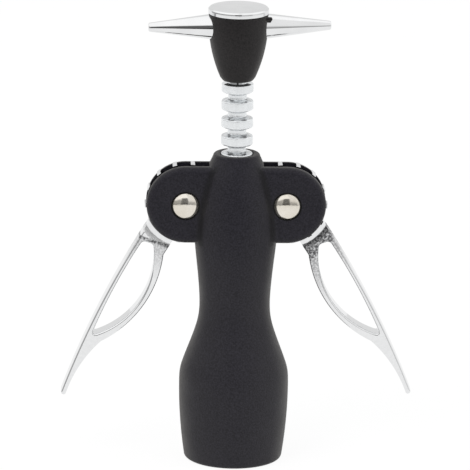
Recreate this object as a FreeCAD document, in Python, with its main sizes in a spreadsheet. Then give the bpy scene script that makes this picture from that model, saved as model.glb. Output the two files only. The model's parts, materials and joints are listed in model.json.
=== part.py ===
"""Wing corkscrew: a black casting, two geared levers, a ringed rack and a turning worm.

Frame: millimetres, +Z up, X across the two levers, Y front to back.
The origin is the centre of the bell's mouth, on the plane that the tool stands on.
"""

import FreeCAD, Part
import math
import os

import Sketcher

# Every driving size: name, value (mm, degrees or a count) and what it is.
DRIVING_SIZES = (
    # Rack and gears
    ("rack_pitch", 6.4, "from one ring of the rack to the next"),
    ("rack_line_radius", 3.84, "rack axis to the line where rack and gears roll"),
    ("ring_radius", 5.66, "rim of a rack ring"),
    ("ring_width", 3.1, "height of a ring at its rim"),
    ("ring_core_radius", 3.3, "sleeve between the rings"),
    ("ring_edge", 0.55, "rounding of a ring's rim"),
    ("ring_sink", 0.1, "ring's flanks inside the sleeve"),
    ("flank_angle", 20.0, "slope of a ring's flanks"),
    ("ring_above_pivot", 3.9, "pivot height to the first ring above it, at rest"),
    ("rings_above", 7, "rings above the pivots at rest"),
    ("rings_below", 3, "rings below the pivots at rest"),
    ("gear_teeth", 14, "teeth on a full turn of a lever's gear"),
    ("gear_width", 5.1, "thickness of a lever's gear"),
    ("tip_gap", 0.25, "gear tip to the rack's core"),
    ("root_gap", 0.35, "rack rim to the gear's root"),
    ("backlash", 0.25, "play between gear tooth and rack groove"),
    # Casting
    ("foot_radius", 17.4, "bell at its foot"),
    ("skirt_radius", 19.3, "bell control ring above the foot"),
    ("skirt_height", 12.0, "its height"),
    ("bulge_radius", 19.8, "widest control ring of the bell"),
    ("bulge_height", 30.0, "its height"),
    ("shoulder_radius", 19.3, "control ring where the bell turns in"),
    ("shoulder_height", 34.0, "its height"),
    ("flank_radius", 13.7, "control ring below the waist"),
    ("flank_height", 48.0, "its height"),
    ("waist_radius", 12.0, "control ring of the waist"),
    ("waist_height", 56.0, "its height"),
    ("chest_radius", 13.9, "control ring under the ears"),
    ("chest_drop", 20.4, "pivots down to it"),
    ("crown_radius", 15.7, "control ring between the ears"),
    ("crown_drop", 6.4, "pivots down to it"),
    ("neck_radius", 12.0, "control ring above the ears"),
    ("neck_rise", 9.6, "pivots up to it"),
    ("collar_radius", 8.4, "outside of the collar"),
    ("collar_rise", 18.1, "pivots up to the collar's rim"),
    ("collar_round", 1.0, "rounding of the collar's rim, inside and outside"),
    ("foot_round", 1.5, "rounding of the bell's outer foot edge"),
    ("pivot_height", 94.4, "lever pivots above the foot"),
    ("ear_radius", 13.9, "ear round its pivot"),
    ("ear_depth", 12.4, "front of the front ear to the back of the rear ear"),
    ("ear_round", 2.2, "rounding of an ear's outer edge"),
    ("ear_blend", 3.0, "hollow blend from an ear into the column"),
    ("slot_gap", 0.45, "gear tip to the bottom of its slot"),
    ("sleeve_gap", 0.09, "rack ring to the casting's bore"),
    ("mouth_radius", 14.9, "bore that takes the bottle's neck"),
    ("mouth_depth", 21.0, "length of that bore"),
    ("seat_height", 21.5, "foot up to the bottle seat"),
    ("seat_thickness", 3.0, "bottle seat ring"),
    ("seat_radius", 15.4, "groove that holds the seat ring"),
    ("seat_bore_radius", 11.8, "hole that lets the cork through the seat"),
    ("chamber_radius", 12.4, "cork chamber over the seat"),
    ("chamber_shoulder", 35.0, "height where the chamber starts to narrow"),
    ("chamber_neck_height", 51.0, "height where it has narrowed"),
    ("chamber_neck_radius", 9.3, "narrow part of the chamber"),
    ("chamber_drop", 18.4, "pivots down to the chamber's ceiling"),
    # Pivot rivets and washers
    ("rivet_radius", 2.5, "shank of a pivot rivet"),
    ("rivet_gap", 0.06, "shank to the lever's bore"),
    ("rivet_head_radius", 4.5, "domed head"),
    ("rivet_head_height", 1.9, "crown of the dome over its seat"),
    ("rivet_rim_height", 0.35, "straight rim of the dome"),
    ("recess_radius", 5.1, "recess round a rivet head"),
    ("recess_depth", 0.5, "its depth"),
    ("washer_thickness", 0.3, "washer between gear and ear"),
    ("washer_radius", 7.0, "its outside"),
    ("washer_gap", 0.05, "play on each side of a washer"),
    # Levers, measured along the arm from the pivot and outwards across it
    ("left_arm_angle", 31.4, "left arm out from vertical at rest"),
    ("right_arm_angle", 32.7, "right arm out from vertical at rest"),
    ("arm_depth", 7.6, "front to back of an arm"),
    ("arm_round", 0.7, "rounding of an arm's edges"),
    ("arm_start_radius", 15.3, "pivot to the arm's root"),
    ("slope_start_radius", 16.0, "pivot to where the gear's face starts to rise to the arm's"),
    ("slope_end_radius", 17.6, "pivot to where it has risen"),
    ("arm_length", 83.0, "pivot to the tip"),
    ("root_outer", 7.6, "outer edge where the arm starts"),
    ("root_inner", 3.3, "inner edge where the arm starts"),
    ("bow_along", 20.0, "where the inner bow starts"),
    ("bow_middle_back", 44.5, "from the tip back to where the bow is widest"),
    ("bow_middle", 7.2, "bow inwards of the arm line"),
    ("bow_end_back", 24.0, "from the tip back to where the bow meets the tail"),
    ("bow_end", 1.2, "there, inwards of the arm line"),
    ("edge_middle_back", 32.5, "from the tip back to the middle of the outer edge"),
    ("edge_middle", 5.9, "there, outwards of the arm line"),
    ("tail_middle_back", 12.0, "from the tip back to the middle of the tail's inner edge"),
    ("tail_middle", 0.5, "there, outwards of the arm line"),
    ("tail_width", 1.9, "across the tip"),
    ("rib_thickness", 1.8, "outer rib beside the window"),
    ("bow_thickness", 2.1, "inner bow beside the window"),
    ("window_near_along", 19.8, "window's near corner beside the bow"),
    ("window_near", 1.9, "there, outwards of the arm line"),
    ("window_rib_along", 20.9, "window's near corner beside the rib"),
    ("window_far_back", 24.2, "from the tip back to the window's far corner before rounding"),
    ("window_far", 2.9, "there, outwards of the arm line"),
    ("window_round", 1.7, "rounding of the near corners"),
    ("corner_round", 0.8, "rounding of the arm's other corners"),
    ("web_start", 7.0, "pivot to where the web leaves the gear"),
    ("web_overlap", 2.0, "web inside the arm"),
    ("tooth_flare", 0.2, "half tooth at its root over half tooth at the rolling line"),
    ("gear_sink", 0.5, "tooth inside the gear's disc"),
    # Worm and handle
    ("spindle_radius", 2.0, "worm's shank"),
    ("spindle_gap", 0.06, "shank to the rack's bore"),
    ("worm_wire_radius", 1.6, "wire of the worm"),
    ("worm_mean_radius", 2.7, "axis to the middle of the wire"),
    ("worm_pitch", 8.6, "rise of one turn"),
    ("worm_turns", 5, "full turns"),
    ("worm_point_turn", 50.0, "turn of wire over which the point is ground"),
    ("worm_point_blunt", 0.12, "its blunt end"),
    ("worm_top_drop", 26.4, "pivots down to the top turn of the worm"),
    ("socket_margin", 0.3, "shank's socket round the end of the wire"),
    ("sleeve_tail", 2.4, "plain sleeve below the lowest ring's rim"),
    ("sleeve_neck", 0.95, "plain sleeve above the top ring's rim"),
    ("thrust_thickness", 0.3, "washer between rack and hub"),
    ("play", 0.05, "axial play of each turning face"),
    ("clip_thickness", 0.8, "spindle clip"),
    ("clip_radius", 3.6, "its outside"),
    ("clip_opening", 2.6, "its mouth"),
    ("groove_depth", 0.4, "clip groove in the shank"),
    ("hub_foot_radius", 5.4, "flat underside of the hub"),
    ("hub_low_radius", 6.3, "hub just above its underside"),
    ("hub_middle_radius", 9.45, "hub halfway up its flare"),
    ("hub_middle_rise", 10.6, "underside up to there"),
    ("hub_radius", 10.6, "top of the hub"),
    ("hub_flare_rise", 20.0, "underside up to the end of the flare"),
    ("hub_rise", 24.6, "underside up to the hub's top"),
    ("bar_rise", 19.35, "underside up to the crossbar's axis"),
    ("handle_turn", 4.5, "handle turned from square to the levers, right end to the rear"),
    ("bar_reach", 32.0, "axis to a bar's tip"),
    ("bar_seat", 8.8, "axis to the shoulder of a bar"),
    ("bar_root_radius", 4.35, "bar at its shoulder"),
    ("bar_tip_radius", 1.65, "bar at its tip"),
    ("bar_tip_round", 0.6, "rounding of the tip"),
    ("spigot_radius", 3.0, "pressed end of a bar"),
    ("spigot_start", 4.5, "axis to the pressed end"),
    ("nut_well_radius", 4.2, "well for the spindle nut"),
    ("nut_well_drop", 2.6, "crossbar's axis down to the well's floor"),
    ("nut_flats", 7.0, "spindle nut across its flats"),
    ("nut_height", 2.2, "spindle nut"),
    ("nut_washer_thickness", 0.5, "washer under the nut"),
    ("nut_washer_radius", 3.9, "its outside"),
    ("spindle_end", 0.8, "thread standing over the nut"),
    ("cap_radius", 10.8, "disc on the hub"),
    ("cap_thickness", 1.8, "its height over the hub"),
    ("cap_edge", 0.45, "rounding of its rim"),
    ("cap_spigot_radius", 8.8, "pressed part of the cap"),
    ("cap_spigot_depth", 1.2, "its depth in the hub"),
)

LEFT = -1
RIGHT = 1


class Size:
    """A size that knows its value and the sheet expression it comes from."""

    def __init__(self, value, text):
        self.value = value
        self.text = text

    def __add__(self, other):
        return joined(self, "+", other, self.value + value_of(other))

    def __radd__(self, other):
        return joined(other, "+", self, value_of(other) + self.value)

    def __sub__(self, other):
        return joined(self, "-", other, self.value - value_of(other))

    def __rsub__(self, other):
        return joined(other, "-", self, value_of(other) - self.value)

    def __mul__(self, other):
        return joined(self, "*", other, self.value * value_of(other))

    def __rmul__(self, other):
        return joined(other, "*", self, value_of(other) * self.value)

    def __truediv__(self, other):
        return joined(self, "/", other, self.value / value_of(other))

    def __neg__(self):
        return Size(-self.value, f"(-1 * {self.text})")


def value_of(item):
    """The number behind a size or a plain number."""
    return item.value if isinstance(item, Size) else float(item)


def text_of(item):
    """The expression behind a size or a plain number."""
    return item.text if isinstance(item, Size) else f"({item})"


def joined(first, sign, second, value):
    """Two sizes put together with one arithmetic sign."""
    return Size(value, f"({text_of(first)} {sign} {text_of(second)})")


def tangent(angle):
    return Size(math.tan(math.radians(angle.value)), f"tan({angle.text} * 1 deg)")


def cosine(angle):
    return Size(math.cos(math.radians(angle.value)), f"cos({angle.text} * 1 deg)")


def sine(angle):
    return Size(math.sin(math.radians(angle.value)), f"sin({angle.text} * 1 deg)")


def root_of(square):
    return Size(math.sqrt(square.value), f"sqrt({square.text})")


def make_sheet(document):
    """Write every driving size to the sheet and return them as sizes by name."""
    sheet = document.addObject("Spreadsheet::Sheet", "Sizes")
    sizes = {}
    for row, (name, value, meaning) in enumerate(DRIVING_SIZES, start=1):
        sheet.set(f"A{row}", name)
        sheet.set(f"B{row}", str(value))
        sheet.set(f"C{row}", meaning)
        sheet.setAlias(f"B{row}", name)
        sizes[name] = Size(float(value), f"Sizes.{name}")
    document.recompute()
    return sizes


class Outline:
    """A sketch on one of a body's own planes, drawn corner by corner from sizes."""

    def __init__(self, body, name, plane="XZ_Plane", turn=None, lift=None):
        self.sketch = body.newObject("Sketcher::SketchObject", name)
        support = [item for item in body.Origin.OriginFeatures if item.Role == plane]
        self.sketch.AttachmentSupport = [(support[0], "")]
        self.sketch.MapMode = "FlatFace"
        if turn is not None:
            spin = FreeCAD.Rotation(FreeCAD.Vector(0, 0, 1), turn.value)
            self.sketch.AttachmentOffset = FreeCAD.Placement(FreeCAD.Vector(), spin)
            self.sketch.setExpression("AttachmentOffset.Rotation.Angle", turn.text)
        if lift is not None:
            self.sketch.setExpression("AttachmentOffset.Base.z", lift.text)
        self.first = None
        self.last = None
        self.origin = None
        self.corner = None

    def pin(self, geometry, point, x, y):
        """Hold one point of the sketch at x, y."""
        for kind, axis, size in (("DistanceX", -2, x), ("DistanceY", -1, y)):
            if not isinstance(size, Size) and size == 0:
                self.sketch.addConstraint(
                    Sketcher.Constraint("PointOnObject", geometry, point, axis))
                continue
            index = self.sketch.addConstraint(
                Sketcher.Constraint(kind, -1, 1, geometry, point, value_of(size)))
            self.sketch.setExpression(f"Constraints[{index}]", text_of(size))

    def start(self, x, y):
        """Begin a closed loop at x, y."""
        self.first = None
        self.origin = (x, y)
        self.corner = (x, y)
        return self

    def joined_to_last(self, geometry, x, y):
        """Tie a new edge to the one before it and pin its far end."""
        here = FreeCAD.Vector(value_of(self.corner[0]), value_of(self.corner[1]), 0)
        begins = self.sketch.getPoint(geometry, 1).distanceToPoint(here) < 1e-6
        near, far = (1, 2) if begins else (2, 1)
        if self.first is None:
            self.first = (geometry, near)
            self.pin(geometry, near, *self.origin)
        else:
            self.sketch.addConstraint(
                Sketcher.Constraint("Coincident", *self.last, geometry, near))
        if (x, y) == self.origin:
            self.sketch.addConstraint(
                Sketcher.Constraint("Coincident", geometry, far, *self.first))
        else:
            self.pin(geometry, far, x, y)
        self.last = (geometry, far)
        self.corner = (x, y)
        return self

    def points(self, *corners):
        """The last corner and the given ones as plain vectors."""
        return [FreeCAD.Vector(value_of(x), value_of(y), 0) for x, y in (self.corner, *corners)]

    def line(self, x, y):
        """A straight edge to x, y."""
        edge = Part.LineSegment(*self.points((x, y)))
        return self.joined_to_last(self.sketch.addGeometry(edge), x, y)

    def arc(self, middle_x, middle_y, x, y):
        """An arc through a middle point to x, y."""
        edge = Part.Arc(*self.points((middle_x, middle_y), (x, y)))
        geometry = self.sketch.addGeometry(edge)
        self.joined_to_last(geometry, x, y)
        middle = Part.Point(FreeCAD.Vector(value_of(middle_x), value_of(middle_y), 0))
        mark = self.sketch.addGeometry(middle, True)
        self.pin(mark, 1, middle_x, middle_y)
        self.sketch.addConstraint(Sketcher.Constraint("PointOnObject", mark, 1, geometry))
        return self

    def curve(self, *poles):
        """A smooth curve drawn towards the given points, which ends at the last one."""
        edge = Part.BSplineCurve()
        edge.buildFromPoles(self.points(*poles), False, 3)
        geometry = self.sketch.addGeometry(edge)
        self.joined_to_last(geometry, *poles[-1])
        self.sketch.exposeInternalGeometry(geometry)
        for step, pole in enumerate(poles[:-1], start=2):
            self.pin(geometry + step, 3, *pole)
        return self

    def close(self):
        """A straight edge back to the start."""
        return self.line(*self.origin)

    def circle(self, x, y, radius):
        """A full circle."""
        centre = FreeCAD.Vector(value_of(x), value_of(y), 0)
        upright = FreeCAD.Vector(0, 0, 1)
        geometry = self.sketch.addGeometry(Part.Circle(centre, upright, radius.value))
        self.pin(geometry, 3, x, y)
        index = self.sketch.addConstraint(
            Sketcher.Constraint("Radius", geometry, radius.value))
        self.sketch.setExpression(f"Constraints[{index}]", radius.text)
        return self


def new_body(document, label):
    """An empty body whose label names its file."""
    body = document.addObject("PartDesign::Body", label)
    body.Label = label
    return body


def place(body, x=0, y=0, z=0, axis=(1, 0, 0), turn=0):
    """Set a finished body's place and turn from sizes."""
    spin = FreeCAD.Rotation(FreeCAD.Vector(*axis), value_of(turn))
    spot = FreeCAD.Vector(value_of(x), value_of(y), value_of(z))
    body.Placement = FreeCAD.Placement(spot, spin)
    for path, size in (("Base.x", x), ("Base.y", y), ("Base.z", z), ("Rotation.Angle", turn)):
        if isinstance(size, Size):
            body.setExpression(f"Placement.{path}", size.text)


def thickened(body, kind, outline, name, length):
    """Pad or Pocket an outline by a length, half to each side of its plane."""
    feature = body.newObject(f"PartDesign::{kind}", name)
    feature.Profile = outline.sketch
    feature.SideType = "Symmetric"
    feature.setExpression("Length", text_of(length))
    return settled(body, feature)


def turned(body, kind, outline, name, angle=360):
    """Revolution or Groove of an outline about its upright axis."""
    feature = body.newObject(f"PartDesign::{kind}", name)
    feature.Profile = outline.sketch
    feature.ReferenceAxis = (outline.sketch, ["V_Axis"])
    feature.Angle = angle
    return settled(body, feature)


def settled(body, feature):
    """Compute a new feature and check that a cut removes and an addition adds."""
    body.Document.recompute()
    if not feature.Shape.isValid():
        raise RuntimeError(f"{body.Label}: {feature.Name} is not valid")
    base = feature.BaseFeature
    if base is not None:
        gained = feature.Shape.Volume - base.Shape.Volume
        if feature.TypeId in ("PartDesign::Pocket", "PartDesign::Groove"):
            gained = -gained
        if gained <= 0 and feature.TypeId != "PartDesign::Fillet":
            raise RuntimeError(f"{body.Label}: {feature.Name} changes nothing")
    return feature


def unmerged(feature):
    """Keep a feature's faces in halves, so that a later fillet finds one loop on each."""
    feature.Refine = False
    feature.Document.recompute()
    return feature


def rounded(body, base, name, radius, wanted):
    """Fillet the edges of base that the test wanted picks."""
    names = [f"Edge{number}" for number, edge in enumerate(base.Shape.Edges, start=1)
             if wanted(edge)]
    fillet = body.newObject("PartDesign::Fillet", name)
    fillet.Base = (base, names)
    fillet.setExpression("Radius", radius.text)
    return settled(body, fillet)


def lies_at(edge, depth):
    """Whether an edge lies in the front or the rear plane at a depth."""
    return all(abs(abs(vertex.Y) - depth) < 1e-4 for vertex in edge.Vertexes)


def stands_at(edge, *corners):
    """Whether an edge runs front to back through one of the given x, z corners."""
    ends = [vertex.Point for vertex in edge.Vertexes]
    if len(ends) < 2 or max(abs(ends[0].x - ends[1].x), abs(ends[0].z - ends[1].z)) > 1e-4:
        return False
    return any(abs(ends[0].x - value_of(x)) < 1e-4 and abs(ends[0].z - value_of(z)) < 1e-4
               for x, z in corners)


def repeated(body, kind, original, name, settings, expressions):
    """A pattern of one feature, made the body's tip."""
    pattern = body.newObject(f"PartDesign::{kind}", name)
    pattern.Originals = [original]
    for key, value in settings.items():
        setattr(pattern, key, value)
    for key, size in expressions.items():
        pattern.setExpression(key, text_of(size))
    body.Tip = pattern
    return settled(body, pattern)


class Fits:
    """Sizes that follow from the driving ones and that several pieces share."""

    def __init__(self, s):
        self.pitch_radius = s["gear_teeth"] * s["rack_pitch"] / (2 * math.pi)
        self.pivot_x = self.pitch_radius + s["rack_line_radius"]
        self.tip_radius = self.pivot_x - s["ring_core_radius"] - s["tip_gap"]
        self.root_radius = self.pivot_x - s["ring_radius"] - s["root_gap"]
        rolling_groove = (s["rack_pitch"] - s["ring_width"] - 2 * tangent(s["flank_angle"])
                          * (s["ring_radius"] - s["rack_line_radius"]))
        half_tooth = (rolling_groove - s["backlash"]) / 2
        self.tooth_root = half_tooth + s["tooth_flare"]
        self.tooth_tip = half_tooth - (self.tip_radius - self.pitch_radius) * tangent(
            s["flank_angle"])
        groove_rise = s["ring_above_pivot"] - s["rack_pitch"] / 2
        self.tooth_angle = groove_rise / self.pitch_radius * (180 / math.pi)
        self.slot_width = s["gear_width"] + 2 * (s["washer_thickness"] + 2 * s["washer_gap"])
        self.slot_radius = self.tip_radius + s["slot_gap"]
        self.bore_radius = s["ring_radius"] + s["sleeve_gap"]
        self.collar_height = s["pivot_height"] + s["collar_rise"]
        self.seat_top = s["seat_height"] + s["seat_thickness"]
        self.head_seat = s["ear_depth"] / 2 - s["recess_depth"]
        first_ring = s["pivot_height"] + s["ring_above_pivot"]
        self.low_ring = first_ring - s["rings_below"] * s["rack_pitch"]
        self.top_ring = first_ring + (s["rings_above"] - 1) * s["rack_pitch"]
        self.sleeve_low = self.low_ring - s["ring_width"] / 2 - s["sleeve_tail"]
        self.sleeve_high = self.top_ring + s["ring_width"] / 2 + s["sleeve_neck"]
        self.thrust_height = self.sleeve_high + s["play"]
        self.hub_height = self.thrust_height + s["thrust_thickness"] + s["play"]
        self.bar_height = self.hub_height + s["bar_rise"]
        self.cap_height = self.hub_height + s["hub_rise"]
        self.well_floor = self.bar_height - s["nut_well_drop"]
        self.nut_height = self.well_floor + s["nut_washer_thickness"]
        self.spindle_top = self.nut_height + s["nut_height"] + s["spindle_end"]
        self.clip_top = self.sleeve_low - s["play"]
        self.clip_foot = self.clip_top - s["clip_thickness"]
        self.worm_top = s["pivot_height"] - s["worm_top_drop"]
        self.worm_low = self.worm_top - s["worm_turns"] * s["worm_pitch"]


def make_casting(document, s, f):
    """The black casting: bell, waist, ears and collar in one hollow piece."""
    body = new_body(document, "body_casting")
    rim = f.collar_height
    soft = s["collar_round"]
    slack = 1 - math.sqrt(0.5)
    skin = Outline(body, "skin_outline")
    skin.start(0, 0)
    skin.line(s["foot_radius"], 0)
    skin.curve(
        (s["skirt_radius"], s["skirt_height"]),
        (s["bulge_radius"], s["bulge_height"]),
        (s["shoulder_radius"], s["shoulder_height"]),
        (s["flank_radius"], s["flank_height"]),
        (s["waist_radius"], s["waist_height"]),
        (s["chest_radius"], s["pivot_height"] - s["chest_drop"]),
        (s["crown_radius"], s["pivot_height"] - s["crown_drop"]),
        (s["neck_radius"], s["pivot_height"] + s["neck_rise"]),
        (s["collar_radius"], rim - soft),
    )
    skin.arc(s["collar_radius"] - soft * slack, rim - soft * slack,
             s["collar_radius"] - soft, rim)
    skin.line(0, rim)
    skin.close()
    half = unmerged(turned(body, "Revolution", skin, "rear_half", 180))
    plane = [item for item in body.Origin.OriginFeatures if item.Role == "XZ_Plane"][0]
    column = unmerged(repeated(body, "Mirrored", half, "column", {"MirrorPlane": (plane, [""])}, {}))
    foot = s["foot_radius"].value
    unmerged(rounded(body, column, "foot_rounding", s["foot_round"],
                     lambda edge: edge.BoundBox.ZMax < 1e-4
                     and abs(edge.BoundBox.XMax - foot) < 1e-4))

    low = s["pivot_height"] - s["ear_radius"]
    high = s["pivot_height"] + s["ear_radius"]
    ears = Outline(body, "ear_outline")
    ears.start(-f.pivot_x, low)
    ears.line(f.pivot_x, low)
    ears.arc(f.pivot_x + s["ear_radius"], s["pivot_height"], f.pivot_x, high)
    ears.line(-f.pivot_x, high)
    ears.arc(-f.pivot_x - s["ear_radius"], s["pivot_height"], -f.pivot_x, low)
    block = unmerged(thickened(body, "Pad", ears, "ear_block", s["ear_depth"]))
    face = s["ear_depth"].value / 2
    height = s["ear_radius"].value
    blended = unmerged(rounded(body, block, "ear_blend", s["ear_blend"],
                               lambda edge: lies_at(edge, face)
                               and edge.BoundBox.ZLength > height
                               and edge.Curve.TypeId == "Part::GeomBSplineCurve"))
    rounded(body, blended, "ear_rounding", s["ear_round"],
            lambda edge: lies_at(edge, face)
            and edge.Curve.TypeId in ("Part::GeomLine", "Part::GeomCircle"))

    ceiling = s["pivot_height"] - s["chamber_drop"]
    hollow = Outline(body, "hollow_outline")
    hollow.start(0, 0)
    hollow.line(s["mouth_radius"], 0)
    hollow.line(s["mouth_radius"], s["mouth_depth"])
    hollow.line(s["seat_radius"], s["mouth_depth"])
    hollow.line(s["seat_radius"], f.seat_top)
    hollow.line(s["chamber_radius"], f.seat_top)
    hollow.line(s["chamber_radius"], s["chamber_shoulder"])
    hollow.line(s["chamber_neck_radius"], s["chamber_neck_height"])
    hollow.line(s["chamber_neck_radius"], ceiling)
    hollow.line(f.bore_radius, ceiling)
    hollow.line(f.bore_radius, rim - soft)
    hollow.arc(f.bore_radius + soft * slack, rim - soft * slack, f.bore_radius + soft, rim)
    hollow.line(0, rim)
    hollow.close()
    turned(body, "Groove", hollow, "hollow")

    slots = Outline(body, "slot_outline")
    slots.circle(-f.pivot_x, s["pivot_height"], f.slot_radius)
    slots.circle(f.pivot_x, s["pivot_height"], f.slot_radius)
    thickened(body, "Pocket", slots, "gear_slots", f.slot_width)

    holes = Outline(body, "hole_outline")
    holes.circle(-f.pivot_x, s["pivot_height"], s["rivet_radius"])
    holes.circle(f.pivot_x, s["pivot_height"], s["rivet_radius"])
    thickened(body, "Pocket", holes, "rivet_holes", 2 * s["ear_depth"])

    for name, side in (("front", 1), ("rear", -1)):
        recess = Outline(body, f"{name}_recess_outline", lift=side * f.head_seat)
        recess.circle(-f.pivot_x, s["pivot_height"], s["recess_radius"])
        recess.circle(f.pivot_x, s["pivot_height"], s["recess_radius"])
        pocket = body.newObject("PartDesign::Pocket", f"{name}_recesses")
        pocket.Profile = recess.sketch
        pocket.Reversed = side > 0
        pocket.setExpression("Length", s["recess_depth"].text)
        settled(body, pocket)
    place(body)


def make_bottle_seat(document, s, f):
    """The ring in the bell that a bottle's rim comes up against."""
    body = new_body(document, "bottle_seat")
    ring = Outline(body, "ring_outline")
    ring.start(s["seat_bore_radius"], 0)
    ring.line(s["seat_radius"], 0)
    ring.line(s["seat_radius"], s["seat_thickness"])
    ring.line(s["seat_bore_radius"], s["seat_thickness"])
    ring.close()
    turned(body, "Revolution", ring, "ring")
    place(body, z=s["seat_height"])


def dome(outline, s, foot, crown):
    """Draw a head's dome from its axis outwards and down to its seat."""
    rim = foot + s["rivet_rim_height"]
    radius = s["rivet_head_radius"]
    bend = 0.72
    outline.arc(radius * bend, rim + (crown - rim) * (1 - bend * bend), radius, rim)
    outline.line(radius, foot)


def make_rivet(document, s, f, name, side):
    """A pivot rivet: domed head in front, shank through both ears and the gear."""
    body = new_body(document, f"{name}_rivet")
    seat = f.head_seat
    profile = Outline(body, "rivet_outline")
    profile.start(0, -seat)
    profile.line(0, seat + s["rivet_head_height"])
    dome(profile, s, seat, seat + s["rivet_head_height"])
    profile.line(s["rivet_radius"], seat)
    profile.line(s["rivet_radius"], -seat)
    profile.close()
    turned(body, "Revolution", profile, "rivet")
    place(body, x=side * f.pivot_x, z=s["pivot_height"], turn=90)


def make_rivet_cap(document, s, f, name, side):
    """The domed cap that closes a rivet at the back."""
    body = new_body(document, f"{name}_rivet_cap")
    profile = Outline(body, "cap_outline")
    profile.start(0, 0)
    profile.line(0, s["rivet_head_height"])
    dome(profile, s, 0, s["rivet_head_height"])
    profile.close()
    turned(body, "Revolution", profile, "cap")
    place(body, x=side * f.pivot_x, y=f.head_seat, z=s["pivot_height"], turn=-90)


def make_gear_washers(document, s, f, name, side):
    """Two thin washers that keep a gear clear of its ears."""
    body = new_body(document, f"{name}_gear_washers")
    body.AllowCompound = True
    ring = Outline(body, "washer_outline", lift=s["gear_width"] / 2 + s["washer_gap"])
    ring.circle(0, 0, s["washer_radius"])
    ring.circle(0, 0, s["rivet_radius"] + s["rivet_gap"])
    front = body.newObject("PartDesign::Pad", "front_washer")
    front.Profile = ring.sketch
    front.setExpression("Length", s["washer_thickness"].text)
    settled(body, front)
    plane = [item for item in body.Origin.OriginFeatures if item.Role == "XZ_Plane"][0]
    repeated(body, "Mirrored", front, "rear_washer", {"MirrorPlane": (plane, [""])}, {})
    place(body, x=side * f.pivot_x, z=s["pivot_height"])


def make_lever(document, s, f, name, side, angle):
    """A lever: windowed arm, web and gear, drawn hanging straight down from its pivot."""
    body = new_body(document, f"{name}_lever")
    tip = -s["arm_length"]
    edge_middle = tip + s["edge_middle_back"]
    bow_middle = tip + s["bow_middle_back"]
    start_outer = -root_of(s["arm_start_radius"] * s["arm_start_radius"]
                           - s["root_outer"] * s["root_outer"])
    start_inner = -root_of(s["arm_start_radius"] * s["arm_start_radius"]
                           - s["root_inner"] * s["root_inner"])
    middle_outer = (s["root_outer"] - s["root_inner"]) / 2
    middle_start = -root_of(s["arm_start_radius"] * s["arm_start_radius"]
                            - middle_outer * middle_outer)
    arm_corners = (
        (side * s["root_outer"], start_outer),
        (side * s["tail_width"] / 2, tip),
        (-side * s["tail_width"] / 2, tip),
        (-side * s["bow_end"], tip + s["bow_end_back"]),
        (-side * s["root_inner"], -s["bow_along"]),
        (-side * s["root_inner"], start_inner),
    )
    arm = Outline(body, "arm_outline")
    arm.start(*arm_corners[0])
    arm.arc(side * s["edge_middle"], edge_middle, *arm_corners[1])
    arm.line(*arm_corners[2])
    arm.arc(side * s["tail_middle"], tip + s["tail_middle_back"], *arm_corners[3])
    arm.arc(-side * s["bow_middle"], bow_middle, *arm_corners[4])
    arm.line(*arm_corners[5])
    arm.arc(side * middle_outer, middle_start, *arm_corners[0])
    thickened(body, "Pad", arm, "arm", s["arm_depth"])

    window = Outline(body, "window_outline")
    rib_corner = (side * (s["root_outer"] - s["rib_thickness"]), -s["window_rib_along"])
    far_corner = (side * s["window_far"], tip + s["window_far_back"])
    near_corner = (side * s["window_near"], -s["window_near_along"])
    window.start(*rib_corner)
    window.arc(side * (s["edge_middle"] - s["rib_thickness"]), edge_middle, *far_corner)
    window.arc(-side * (s["bow_middle"] - s["bow_thickness"]), bow_middle, *near_corner)
    window.close()
    holed = thickened(body, "Pocket", window, "window", 2 * s["arm_depth"])
    eased = rounded(body, holed, "window_corners", s["window_round"],
                    lambda edge: stands_at(edge, rib_corner, near_corner))
    eased = rounded(body, eased, "arm_corners", s["corner_round"],
                    lambda edge: stands_at(edge, far_corner, *arm_corners))
    face = s["arm_depth"].value / 2
    rounded(body, eased, "arm_rounding", s["arm_round"],
            lambda edge: lies_at(edge, face))

    slope = Outline(body, "slope_outline", plane="XY_Plane")
    for face in (1, -1):
        slope.start(s["ear_radius"], face * s["gear_width"] / 2)
        slope.line(s["slope_start_radius"], face * s["gear_width"] / 2)
        slope.line(s["slope_end_radius"], face * s["arm_depth"] / 2)
        slope.line(s["slope_end_radius"], face * s["arm_depth"])
        slope.line(s["ear_radius"], face * s["arm_depth"])
        slope.close()
    turned(body, "Groove", slope, "root_slope")

    web = Outline(body, "web_outline")
    web.start(side * s["root_outer"], -s["web_start"])
    web.line(side * s["root_outer"], start_outer - s["web_overlap"])
    web.line(-side * s["root_inner"], start_inner - s["web_overlap"])
    web.line(-side * s["root_inner"], -s["web_start"])
    web.close()
    thickened(body, "Pad", web, "web", s["gear_width"])

    disc = Outline(body, "disc_outline")
    disc.circle(0, 0, f.root_radius)
    thickened(body, "Pad", disc, "gear_disc", s["gear_width"])

    turn = angle + f.tooth_angle if side == LEFT else 180 - angle - f.tooth_angle
    tooth = Outline(body, "tooth_outline", turn=turn)
    tooth.start(f.root_radius - s["gear_sink"], -f.tooth_root)
    tooth.line(f.tip_radius, -f.tooth_tip)
    tooth.line(f.tip_radius, f.tooth_tip)
    tooth.line(f.root_radius - s["gear_sink"], f.tooth_root)
    tooth.close()
    first = thickened(body, "Pad", tooth, "first_tooth", s["gear_width"])
    repeated(body, "PolarPattern", first, "teeth",
             {"Axis": (tooth.sketch, ["N_Axis"]), "Angle": 360},
             {"Occurrences": s["gear_teeth"]})

    bore = Outline(body, "bore_outline")
    bore.circle(0, 0, s["rivet_radius"] + s["rivet_gap"])
    thickened(body, "Pocket", bore, "rivet_bore", 2 * s["arm_depth"])
    place(body, x=side * f.pivot_x, z=s["pivot_height"], axis=(0, 1, 0), turn=-side * angle)


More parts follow.
